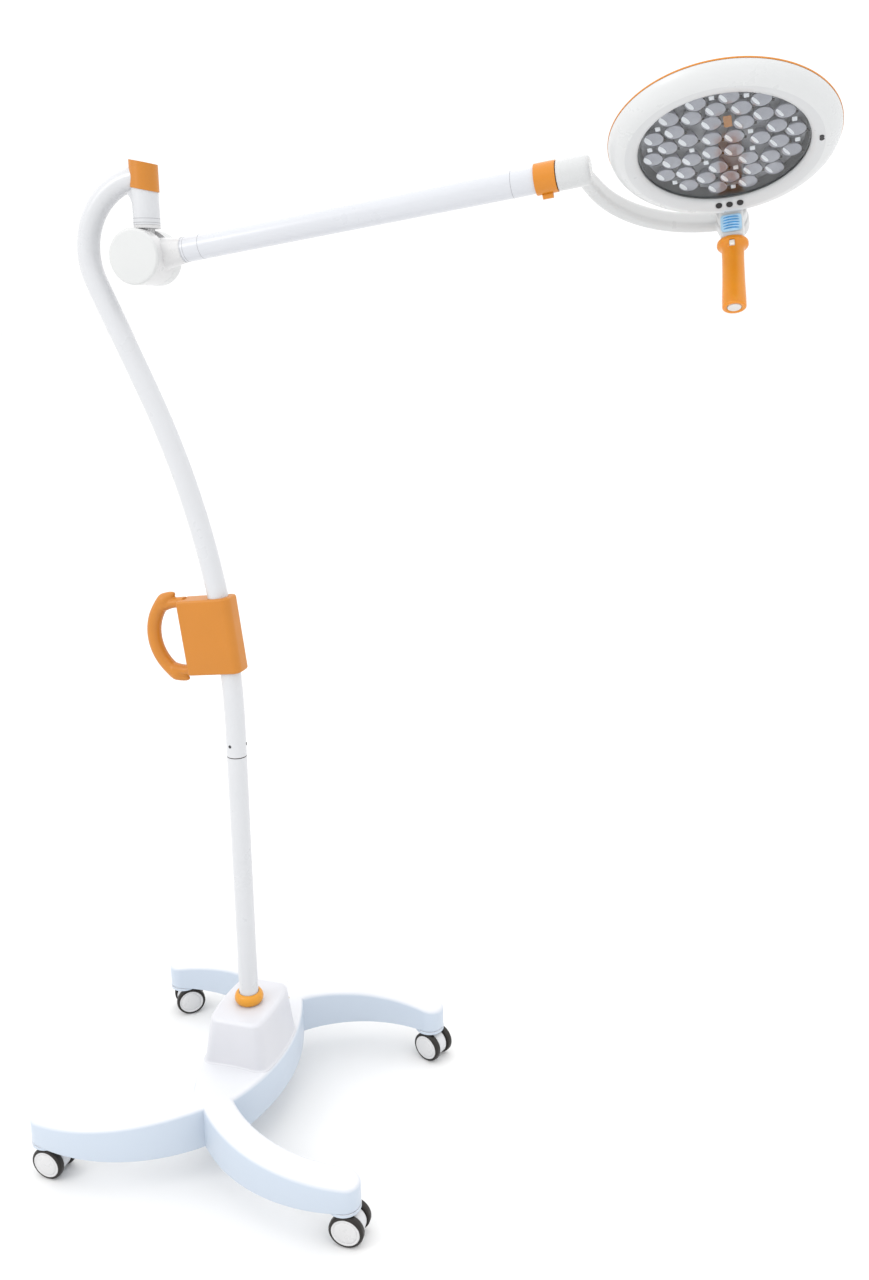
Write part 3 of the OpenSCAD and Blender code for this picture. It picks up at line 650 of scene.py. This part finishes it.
def make_wheel(caster, wheel):
    """Tyre and hub cap, turned round the axle. inner and outer are the faces, from the caster's middle."""
    place = caster_frame(caster, wheel)
    body = f"wheel_{caster}_{wheel}"
    slot = "wheel_tyre"
    inner, outer = 13.1, 28
    tyre = [(WHEEL_R - 7, inner + 0.4), (WHEEL_R - 4.5, inner + 0.4)]
    tyre += arc(WHEEL_R - 4, inner + 4.4, 4, 280, 352, 6)
    tyre += [(WHEEL_R, inner + 7)]
    tyre += arc(WHEEL_R - 5, outer - 5, 5, 0, 90, 8)
    tyre += [(WHEEL_R - 5.3, outer), (WHEEL_R - 5.7, outer - 1.2), (WHEEL_R - 7, outer - 2)]
    lathe(f"tyre_{caster}_{wheel}", tyre, slot, body, (f"caster_{caster}_wheel_{wheel}",), place, 72)
    rim = WHEEL_R - 5.6
    cap = [(5.0, inner), (rim - 6, inner), (rim - 1, inner + 3), (rim, outer - 2.5)]
    cap += arc(rim - 1.6, outer - 1.4, 1.6, 0, 100, 5)
    cap += [(rim - 4.2, outer - 0.6), (rim - 4.9, outer - 1.0), (rim - 5.6, outer - 0.5)]
    dome = 1.9
    cap += [((rim - 6) * math.cos(math.radians(a)), outer - 0.3 + dome * math.sin(math.radians(a)))
            for a in range(0, 90, 9)] + [(0.0, outer - 0.3 + dome)]
    cap += [(0.0, outer - 3), (4.4, outer - 3)]
    lathe(f"hub_cap_{caster}_{wheel}", cap, slot, body, (), place, 72, material="hub_cap")


def make_caster_body(caster):
    """The housing between the two wheels: a rounded disc round the axle under a short boss."""
    fork, body = f"caster_{caster}_fork", f"caster_{caster}"
    stem, axle = joint_origin(f"caster_{caster}_swivel"), joint_origin(f"wheel_{caster}_a_roll")
    offset = Vector((axle.x - stem.x, axle.y - stem.y, 0))
    trail, reach = offset.normalized(), offset.length / MM
    place = frame_matrix(Vector((stem.x, stem.y, 0)), trail, Vector((0, 0, 1)).cross(trail))
    half, edge, radius = 12.3, 2.4, WHEEL_R - 4.6
    # The disc's side as (place along the axle, radius), and the boss as (radius, distance below the base).
    side = ((-half, 4), (-half, radius - edge), (-half + 0.3 * edge, radius - 0.3 * edge),
            (-half + edge, radius), (half - edge, radius), (half - 0.3 * edge, radius - 0.3 * edge),
            (half, radius - edge), (half, 4))
    disc = [[(reach + x, y, WHEEL_R + z) for x, z in circle(r, 72)] for y, r in side]
    boss = [[(x, y, BOSS_FOOT - below) for x, y in circle(r, 48)]
            for r, below in ((10.8, 26.6), (10.8, 5), (12.0, 2.6), (12.0, 0.6))]
    points, faces = join_parts(loft(disc), loft(boss))
    piece = build(f"caster_body_{caster}", points, faces, "fork_white", body, (fork,), place)
    melt(piece, 1.0 * MM, 3)
    dress(piece, "fork_white", body, (fork,), 180)


# ---------- Push handle ----------

# The pole bends from this far below the arm's pivot, on this radius, and the block sits this many degrees on.
BEND_BELOW_PIVOT, BEND_R, BLOCK_AT = 835, 1457, 7.1


def block_frame():
    """Frame of the clamp block, with Z along the pole there."""
    at = math.radians(BLOCK_AT)
    bend_start = joint_origin("arm_pitch").z / MM - BEND_BELOW_PIVOT
    origin = Vector((-BEND_R * (1 - math.cos(at)), 0, bend_start + BEND_R * math.sin(at))) * MM
    return Matrix.Translation(origin) @ Matrix.Rotation(-at, 4, "Y")


def make_clamp_block(place):
    """The block, with larger corners on its right-hand side."""
    half_w, half_d, half_h, middle, edge = 52.7, 24.7, 70.7, -25, 4.5
    outline = []
    for x, y, r, start in ((half_w, -half_d, 15, 270), (half_w, half_d, 15, 0),
                           (-half_w, half_d, 5, 90), (-half_w, -half_d, 5, 180)):
        corner_x, corner_y = middle + math.copysign(half_w - r, x), math.copysign(half_d - r, y)
        outline += arc(corner_x, corner_y, r, start, start + 90, 10)
    turns = [math.radians(a) for a in range(0, 91, 15)]
    rounds = [(offset_loop(outline, edge * (1 - math.cos(t))), half_h - edge * (1 - math.sin(t)))
              for t in turns]
    rings = [[(x, y, -z) for x, y in loop] for loop, z in rounds[::-1]]
    rings += [[(x, y, z) for x, y in loop] for loop, z in rounds]
    points, faces = loft(rings)
    build("handle_block", points, faces, "grip_orange", "base", ("clamp_bracket",), place)


def make_grip(place):
    """The D-shaped grip: a bar bent round (grip_x, 0) through reach degrees each way, and its two arms."""
    grip_x, bend, rod, reach, steps = -58, 87.5, 13.2, 70, 60
    path, radii = [], []
    for i in range(steps + 1):
        x, z = polar(bend, 180 - reach + 2 * reach * i / steps)
        path.append((grip_x + x, 0, z))
        end = min(i, steps - i) / steps
        swell = 1.0 + 0.10 * math.exp(-((end - 0.13) / 0.05) ** 2)
        taper = min(1.0, 0.15 + 0.85 * (end / 0.11) ** 0.7)
        radii.append(rod * swell * taper)
    parts = [loft(sweep(path, radii, 28))]
    far, near = -116, -70
    for s in (-1, 1):
        arm = [(x, 0, s * (61 + 3.5 * math.sin(math.pi * (x - far) / 60))) for x in range(far, near, 3)]
        sizes = [11.5 - 2.0 * math.sin(math.pi * (x - far) / 46) for x in range(far, near, 3)]
        parts.append(loft(sweep(arm, sizes, 24, 1.25)))
    points, faces = join_parts(*parts)
    grip = build("handle_grip", points, faces, "grip_orange", "base", ("push_grip",), place)
    melt(grip, 1.6 * MM, 6)
    dress(grip, "grip_orange", "base", ("push_grip",), 180)


# ---------- Head ----------

# Heights in the head are along HEAD's Z, against the light. The rim's front is part of a torus, whose section
# has radius BEZEL_R and its middle at height BEZEL_Z. All in millimetres.
RIM_R, BEZEL_R, BEZEL_Z, WINDOW_R = 164, 26.6, 8, 121
# Lenses in a ring, radius of the ring, angle of the first lens.
LENS_RINGS = ((4, 21.8, 49.5), (7, 51.9, 50.5), (14, 78, 9.7), (14, 100.8, 21.6))
LENS_R, LENS_FRONT, BOARD_Z = 14.2, -2.5, 17


def rim_z(radius):
    """Height of the round rim's front surface at a radius."""
    return BEZEL_Z - math.sqrt(BEZEL_R ** 2 - (radius - RIM_R + BEZEL_R) ** 2)


def button_frames():
    """Name and frame of each button, with Z out of the rim. They sit at a radius, spread degrees apart."""
    at, spread = 128, 7.1
    lean = math.asin((RIM_R - BEZEL_R - at) / BEZEL_R)
    for i, name in ((0, "power"), (1, "brighter"), (-1, "dimmer")):
        place = (HEAD @ Matrix.Rotation(math.radians(90 - i * spread), 4, "Z")
                 @ Matrix.Translation((at * MM, 0, (BEZEL_Z - BEZEL_R * math.cos(lean)) * MM))
                 @ Matrix.Rotation(math.pi + lean, 4, "Y"))
        yield name, place


def disc_points(radius, z):
    """A small circle's points at a height."""
    return [(x, y, z) for x, y in circle(radius, 40)]


def make_bezel():
    """The round rim, its flatter inner face down to the window, and the three buttons in it."""
    front = [(RIM_R - 1.2, 4.5), (RIM_R - 0.5, 4.4), (RIM_R - 0.25, 3.9)]
    front += [(RIM_R - BEZEL_R + x, BEZEL_Z - z) for x, z in (polar(BEZEL_R, a) for a in range(10, 87, 3))]
    shell = BEZEL_R - 3
    back = [(RIM_R - BEZEL_R + x, BEZEL_Z - z) for x, z in (polar(shell, a) for a in range(84, 7, -6))]
    seam = front[-1][0] - 0.1
    roll = front + [(seam, rim_z(seam) + 0.02), (seam, rim_z(seam) + 2)] + back
    lathe("bezel_roll", roll, "head_white", "head", ("bezel",), HEAD, 180, sharp=50)
    face = [(seam + 0.05, rim_z(seam) + 2), (seam + 0.05, rim_z(seam) + 0.01)]
    face += [(r, rim_z(r) + 0.01) for r in range(137, 123, -2)]
    face += [(WINDOW_R + 1.4, rim_z(WINDOW_R + 1.4) - 0.05), (WINDOW_R + 0.4, rim_z(WINDOW_R) + 0.7),
             (WINDOW_R, rim_z(WINDOW_R) + 1.6), (WINDOW_R, -9.2), (WINDOW_R + 2.4, -9.2),
             (WINDOW_R + 6, rim_z(WINDOW_R + 6) + 3), (seam - 4, rim_z(seam) + 3)]
    piece = lathe("bezel_face", face, "head_white", "head", (), HEAD, 180, sharp=40, material="bezel_face")
    cutters = [loft([[tuple(place @ (Vector(p) * MM)) for p in disc_points(5.2, z)] for z in (-8, 6)])
               for _, place in button_frames()]
    cut(piece, cutters)
    dress(piece, "head_white", "head", (), 40, "bezel_face")
    surround = [(5.25, -3), (5.25, 0.25), (5.6, 0.45), (6.6, 0.35), (7.0, 0.0), (6.6, -1.5)]
    for name, place in button_frames():
        lathe(f"button_surround_{name}", surround, "head_white", "head", (), place, 48,
              material="surround_grey")
        cap = [(4.85, -4.2), (4.85, 0.0)] + arc(4.25, 0.15, 0.6, 0, 80, 4)
        cap += [(3.2, 0.62), (1.8, 0.5), (0.0, 0.45), (0.0, -4.2)]
        lathe(f"button_cap_{name}", cap, "button_dark", f"button_{name}", (f"button_{name}",), place, 40)


def lens_places():
    """The middle of each lens."""
    for count, radius, first in LENS_RINGS:
        for k in range(count):
            yield polar(radius, first + 360 * k / count)


def lens_dome(r):
    """Height of a lens's crowned front at r from its middle."""
    return LENS_FRONT - 0.9 * (1 - (r / LENS_R) ** 2)


def lens_body(cx, cy):
    """A lens: its crowned front, a short side and a cone back to the board."""
    profile = [(r, lens_dome(r)) for r in (0, 4, 8, 12, 13.6)]
    profile += [(LENS_R, LENS_FRONT + 0.3), (LENS_R, LENS_FRONT + 1.4), (14, LENS_FRONT + 2.6)]
    profile += [(5, BOARD_Z - 0.2)]
    return loft([[(cx + x, cy + y, z) for x, y, z in disc_points(max(r, 0.01), z)] for r, z in profile])


def lens_shadow_rim(cx, cy):
    """A thin dark crescent along one side of a lens, widest in its middle: the gap round the lens, drawn only on
    the side where it lies in shade, so partly its own dark and partly painted shadow.
    """
    steps, first, span, widest, skin = 24, -40, 200, 0.5, 0.25
    rings = []
    for i in range(steps + 1):
        a = math.radians(first + span * i / steps)
        c, s = math.cos(a), math.sin(a)
        wide = widest * math.sin(math.pi * i / steps) + 0.05
        rings.append([(cx + r * c, cy + r * s, z) for r, z in
                      ((LENS_R - skin, LENS_FRONT - 0.25), (LENS_R + wide, LENS_FRONT - 0.1),
                       (LENS_R + wide, LENS_FRONT + 1.6), (LENS_R - skin, LENS_FRONT + 1.6))])
    return loft(rings)


def lens_glint(cx, cy):
    """A white crescent near the edge of a lens, narrower at larger x: a painted highlight, standing for the
    reflection on the lens's front.
    """
    count, major, minor_most, lean = 28, 9.6, 4.6, math.radians(62)
    limit, core_size = LENS_R - 0.5, 0.6
    share = min(1.0, max(0.0, (cx + 110) / 200))
    minor = minor_most * (1 - 0.45 * share)
    middle_x, middle_y = -8.8 + 1.2 * share, 0.6
    ring, core = [], []
    for k in range(count):
        t = 2 * math.pi * k / count
        along, across = major * math.cos(t), minor * math.sin(t)
        x = middle_x + along * math.cos(lean) - across * math.sin(lean)
        y = middle_y + along * math.sin(lean) + across * math.cos(lean)
        reach = math.hypot(x, y)
        if reach > limit:
            x, y = x * limit / reach, y * limit / reach
        ring.append((cx + x, cy + y, lens_dome(min(LENS_R, math.hypot(x, y))) - 0.02))
        x, y = middle_x + (x - middle_x) * core_size, middle_y + (y - middle_y) * core_size
        core.append((cx + x, cy + y, lens_dome(math.hypot(x, y)) - 0.10))
    return loft([[(x, y, z + 0.3) for x, y, z in ring], ring, core], False, True)


def lens_clip(cx, cy):
    """A small dark block beside a lens."""
    return rounded_box((4.6, 3.0, 3.4), 0.6, Matrix.Translation((cx + 14.6, cy + 6.5, LENS_FRONT + 1.6)), 1)


def make_lenses():
    """Every lens with its rim of painted shadow, its glint of painted highlight and its clip, as one piece of each
    kind.
    """
    lens_parts = (("lenses", lens_body, "lens_clear", ("lens_array",)), ("lens_shadow_rims", lens_shadow_rim, "lens_shadow_rim", ()),
                  ("lens_glints", lens_glint, "lens_glint", ()), ("lens_clips", lens_clip, "joint_dark", ()))
    for name, shape, material, replaced in lens_parts:
        points, faces = join_parts(*(shape(cx, cy) for cx, cy in lens_places()))
        build(name, points, faces, "lens_clear", "head", replaced, HEAD, material=material, sharp=30)


def make_board_details():
    """White chips and one orange strip in the gaps between the lenses, which is a painted warm reflection, and the
    plate behind them.
    """
    inner_step, outer_step = 360 / 7, 360 / 14
    inner_gap, outer_gap = 24.7, 8.7
    spots = [(44, inner_gap + inner_step * k) for k in (0, 2, 3, 6)] + [(59, inner_gap + inner_step)]
    spots += [(103.5, outer_gap + outer_step * k) for k in (0, 3, 5, 7, 8, 10, 11, 13)]
    chips = [rounded_box((7.2, 8.4, 1.6), 0.5, Matrix.Translation((*polar(*spot), LENS_FRONT + 0.5)), 1)
             for spot in spots]
    points, faces = join_parts(*chips)
    build("led_chips", points, faces, "board_grey", "head", (), HEAD, material="lens_glint")
    # A painted warm reflection: an orange strip between the lenses.
    reflection_place = Matrix.Translation((*polar(49, inner_gap + inner_step * 5), LENS_FRONT + 1.4))
    points, faces = rounded_box((11.5, 24, 1.0), 0.4, reflection_place, 1)
    build("painted_warm_reflections", points, faces, "board_grey", "head", (), HEAD, material="painted_warm_reflection")
    plate = [(0.0, 9.0), (116.5, 9.0), (116.5, 10.2), (0.0, 10.2)]
    lathe("lens_plate", plate, "board_grey", "head", (), HEAD, 120, material="lens_plate")


def make_neck():
    """The moulded neck between the rim and the tilt joint."""
    parts = [rounded_box((34, 12, 34), 4, Matrix.Translation((0, 185.2, 0.5)), 3)]
    corner = 5
    rings = []
    # Sections along HEAD's Y as (place, top, bottom, half width).
    sections = ((152, 16, -5, 17), (158, 17, -14, 17), (164, 18, -27, 17.3), (170, 18, -44, 17.8),
                (176, 16, -45.8, 18), (191, 6, -45.8, 18.5), (199.6, -36, -45.6, 17.5))
    for y, top, bottom, width in sections:
        ring = []
        for cx, cz, start in ((width - corner, top - corner, 0), (-width + corner, top - corner, 90),
                              (-width + corner, bottom + corner, 180), (width - corner, bottom + corner, 270)):
            if top - bottom < 2 * corner:
                cz = (top + bottom) / 2
            ring += [(x, y, z) for x, z in arc(cx, cz, min(corner, (top - bottom) / 2), start, start + 90, 5)]
        rings.append(ring)
    parts.append(loft(rings))
    hub = [[(x, y, z) for x, z in circle(23.6, 60)] for y in (167.5, 190.6)]
    parts.append(loft(hub))
    points, faces = join_parts(*parts)
    neck = build("head_neck_skin", points, faces, "head_white", "head", ("head_neck",), HEAD)
    melt(neck, 1.3 * MM, 5)
    dress(neck, "head_white", "head", ("head_neck",), 180)


def make_pad():
    """The blue silicone pad on the neck's slope, with raised bars."""
    slope = math.atan2(18, 42)
    pad = HEAD @ Matrix.Translation((0, 160.3 * MM, -28 * MM)) @ Matrix.Rotation(math.pi / 2 + slope, 4, "X")
    half_x, half_y, corner = 16, 12.5, 5
    outline = corner_arcs(half_x - corner, half_y - corner, corner, 6)
    rings = [[(x * (1 - inset / half_x), y * (1 - inset / half_y), lift) for x, y in outline]
             for lift, inset in ((-1.0, 0.0), (0.7, 0.0), (1.1, 0.35), (1.3, 0.9))]
    points, faces = loft(rings)
    build("soft_pad", points, faces, "pad_blue", "head", ("touch_pad",), pad)
    bars = []
    for i in range(5):
        y = -8.6 + 4.1 * i
        half_w = 12.8 - 0.4 * abs(i - 2)
        path = [(x, y + 1.3 * (1 - (x / half_w) ** 2), 1.32) for x in (half_w * (k / 6 - 1) for k in range(13))]
        sizes = [1.05 * math.sqrt(max(0.08, 1 - (k / 6 - 1) ** 4)) for k in range(13)]
        bars.append(loft(sweep(path, sizes, 12)))
    points, faces = join_parts(*bars)
    build("soft_pad_bars", points, faces, "pad_blue", "head", (), pad, material="pad_blue_deep")


# ---------- Sterile handle ----------

SLEEVE_LOW, SLEEVE_HIGH = heights_along("sterile_handle", HANDLE)
CATCH_Z = sum(heights_along("handle_catch", HANDLE)) / 2


def make_sterile_handle():
    """The removable sleeve, its catch, and the end of the core that shows in the sleeve's foot."""
    top, end = SLEEVE_HIGH, SLEEVE_LOW
    core, flange, grip, foot = 11.3, 24.4, 16.9, 18.5
    profile = [(core, top), (flange - 2.2, top)] + arc(flange - 1.8, top - 1.8, 1.8, 90, 0, 5)
    profile += arc(flange - 1.8, top - 5.0, 1.8, 0, -70, 5)
    profile += [(20.2, top - 8.8), (18.1, top - 11.6), (17.2, top - 15)]
    profile += [(grip, top - 26), (grip + 0.1, top - 45), (grip + 0.5, top - 68), (grip + 1.1, top - 86),
                (foot - 0.1, top - 99)]
    profile += arc(foot - 2.4, end + 2.4, 2.4, 0, -90, 6)
    profile += [(14.2, end), (13.2, end + 0.8), (core + 0.1, end + 1.4)]
    piece = lathe("sterile_sleeve", profile, "sleeve_orange", "sleeve", ("sterile_handle",), HANDLE, 96)
    pocket = rounded_box((8.8, 30, 8.8), 1.0, Matrix.Translation((0, -15, CATCH_Z)), 2)
    cut(piece, [([tuple(HANDLE @ (Vector(p) * MM)) for p in pocket[0]], pocket[1])])
    dress(piece, "sleeve_orange", "sleeve", ("sterile_handle",))
    points, faces = rounded_box((8, 7.4, 8), 1.2, Matrix.Translation((0, -17.6, CATCH_Z)), 4)
    build("catch_button", points, faces, "catch_white", "catch", ("handle_catch",), HANDLE)
    tip = [(10.9, end + 7), (10.9, end + 1.1)] + arc(9.6, end + 1.5, 1.2, 0, -90, 4)
    tip += [(6, end + 0.8), (0, end + 1.6), (0, end + 7)]
    lathe("core_end", tip, "core_white", "head", (), HANDLE, 60)


# ---------- Yoke, arm and joints ----------

ARM_REACH = (joint_origin("head_tilt") - joint_origin("arm_pitch")).length / MM
ELBOW_FROM_PIVOT = 709


def make_yoke():
    """A quarter ring from the tilt hub to the elbow, melted into both, with a seam line and its spindle."""
    radius, width, lift = 204, 22, 6.5
    section = corner_arcs(3, 7, 8, 5)
    taper_from, last = 76, 90
    rings = []
    for i in range(last + 1):
        a = math.radians(90 + i)
        near = max(0.0, (i - taper_from) / (last - taper_from))
        ring = []
        for x, z in section:
            r = radius + x * (1 - 0.15 * near)
            ring.append((r * math.cos(a), r * math.sin(a), lift * (1 - near) + z))
        rings.append(ring)
    parts = [loft(rings)]
    elbow_back, elbow_front = ELBOW_FROM_PIVOT - ARM_REACH, -radius + width / 2 - 0.8
    # The elbow and the hub as (place along the axis, radius).
    elbow = ((elbow_back + 0.2, 21.5), (elbow_back + 1.0, 22.3), (elbow_front - 6, 22.3),
             (elbow_front - 1.5, 21.3), (elbow_front + 1.5, 18.6), (elbow_front + 2.6, 15))
    parts.append(loft([[(x, y, z) for y, z in circle(r, 72)] for x, r in elbow]))
    hub = ((191.6, 24.2), (193, 25.7), (215.5, 25.7), (218.3, 24.0), (219.7, 20))
    parts.append(loft([[(x, y, z) for x, z in circle(r, 72)] for y, r in hub]))
    points, faces = join_parts(*parts)
    yoke = build("yoke_casting", points, faces, "yoke_white", "yoke", ("yoke",), YOKE)
    melt(yoke, 1.5 * MM, 5)
    dress(yoke, "yoke_white", "yoke", ("yoke",), 180)
    line = [(*polar(radius + width / 2 - 0.12, 96 + 78 * i / 60), lift + 8.5) for i in range(61)]
    points, faces = loft(sweep(line, [0.32] * len(line), 8))
    build("yoke_seam", points, faces, "yoke_white", "yoke", (), YOKE, material="seam_grey")
    spindle = [(9.8, elbow_back - 55), (9.8, elbow_back + 3), (0, elbow_back + 3), (0, elbow_back - 55)]
    lathe("yoke_spindle", spindle, "pin_steel", "yoke", (), YOKE @ Matrix.Rotation(math.pi / 2, 4, "Y"), 48)


def ring_line(name, place, radius, at, slot, body):
    """A fine line round a tube, at a height along the frame's Z."""
    width, proud = 0.5, 0.08
    low, high = at - width / 2, at + width / 2
    profile = [(radius - 0.3, low), (radius + proud, low), (radius + proud, high), (radius - 0.3, high)]
    lathe(name, profile, slot, body, (), place, 96, material="seam_grey")


def make_drum():
    """The covers on both faces of the arm's drum."""
    side = DRUM @ Matrix.Rotation(math.pi / 2, 4, "X")
    radius, edge = 45, 3.4
    front = [(0, 44.9), (30, 44.75), (39.5, 44.4)] + arc(radius - edge, 41.0, edge, 80, 0, 7)
    front += [(radius, 38.2), (0, 38.2)]
    lathe("drum_cover_front", front, "cover_white", "arm", ("drum_covers",), side, 128)
    rear = [(0, -44.9), (30, -44.75), (39.5, -44.4)] + arc(radius - edge, -41.0, edge, -80, 0, 7)
    rear += [(radius, -20.9), (radius - 4, -20.9), (radius - 4, -40), (0, -40)]
    lathe("drum_cover_rear", rear, "cover_white", "arm", (), side, 128)


def make_lines():
    """Fine joint lines round the arm and the swivel post."""
    arm = DRUM @ Matrix.Rotation(math.pi / 2, 4, "Y")
    for i, at in enumerate((75.0, 79.5, 108.0, 640.0)):
        ring_line(f"arm_line_{i}", arm, 20, at, "arm_white", "arm")
    post = Matrix.Translation((joint_origin("arm_swivel").x, 0, 0))
    foot = heights_along("knuckle", Matrix())[1]
    for i, at in enumerate((foot + 3.8, foot + 10.3)):
        ring_line(f"post_line_{i}", post, 22.3, at, "pole_white", "base")


def round_edges(node, width):
    """Rounded edges on a carried-over node."""
    bevel = NODES[node].modifiers.new("edges", "BEVEL")
    bevel.width = width * MM
    bevel.segments = 3
    bevel.limit_method = "ANGLE"
    bevel.angle_limit = math.radians(40)
    bevel.harden_normals = False


# ---------- Stage ----------

# Strength of the white sky at the horizon and overhead.
SKY_LOW, SKY_HIGH = 1.02, 1.75


def add_light(name, place, aim, size, power, color):
    """A round area light, aimed at a point."""
    data = bpy.data.lights.new(name, "AREA")
    data.shape = "DISK"
    data.size = size
    data.energy = power
    data.color = color
    light = bpy.data.objects.new(name, data)
    light.location = place
    light.rotation_euler = (Vector(aim) - Vector(place)).to_track_quat("-Z", "Y").to_euler()
    bpy.context.scene.collection.objects.link(light)


def make_stage():
    """A plain pale floor under a white sky, and one large soft light."""
    mesh = bpy.data.meshes.new("floor")
    half = 60.0
    corners = [(-half, -half, 0), (half, -half, 0), (half, half, 0), (-half, half, 0)]
    mesh.from_pydata(corners, [], [(0, 1, 2, 3)])
    floor = bpy.data.objects.new("floor", mesh)
    bpy.context.scene.collection.objects.link(floor)
    pale = Shader("floor_pale", (0.80, 0.80, 0.80), 0.9, Specular_IOR_Level=0.1).vary(0.01, 0.8)
    mesh.materials.append(pale.material)
    make_sky()
    bpy.context.scene.view_settings.view_transform = "Standard"
    add_light("key", (-2.6, -3.0, 3.4), (0.1, 0, 1.0), 1.8, 40, (1.0, 0.98, 0.96))


def make_sky():
    """A white world, brighter overhead."""
    world = bpy.data.worlds.new("studio")
    bpy.context.scene.world = world
    world.use_nodes = True
    tree = world.node_tree
    direction = tree.nodes.new("ShaderNodeTexCoord")
    split = tree.nodes.new("ShaderNodeSeparateXYZ")
    rise = tree.nodes.new("ShaderNodeMapRange")
    rise.inputs["To Min"].default_value, rise.inputs["To Max"].default_value = SKY_LOW, SKY_HIGH
    tree.links.new(direction.outputs["Generated"], split.inputs[0])
    tree.links.new(split.outputs["Z"], rise.inputs["Value"])
    background = tree.nodes["Background"]
    background.inputs["Color"].default_value = (1.0, 1.0, 1.0, 1.0)
    tree.links.new(rise.outputs["Result"], background.inputs["Strength"])


make_camera()
dress_cad_nodes()
make_base()
make_battery_box()
make_base_collar()
for caster in ("fl", "fr", "rl", "rr"):
    make_caster_body(caster)
    for wheel in ("a", "b"):
        make_wheel(caster, wheel)
make_clamp_block(block_frame())
make_grip(block_frame())
make_bezel()
make_lenses()
make_board_details()
make_neck()
make_pad()
make_sterile_handle()
make_yoke()
make_drum()
make_lines()
for node, width in (("arm_root", 1.5), ("knuckle", 1.2), ("post_cap", 2.0), ("arm_collar", 0.8)):
    round_edges(node, width)
make_stage()
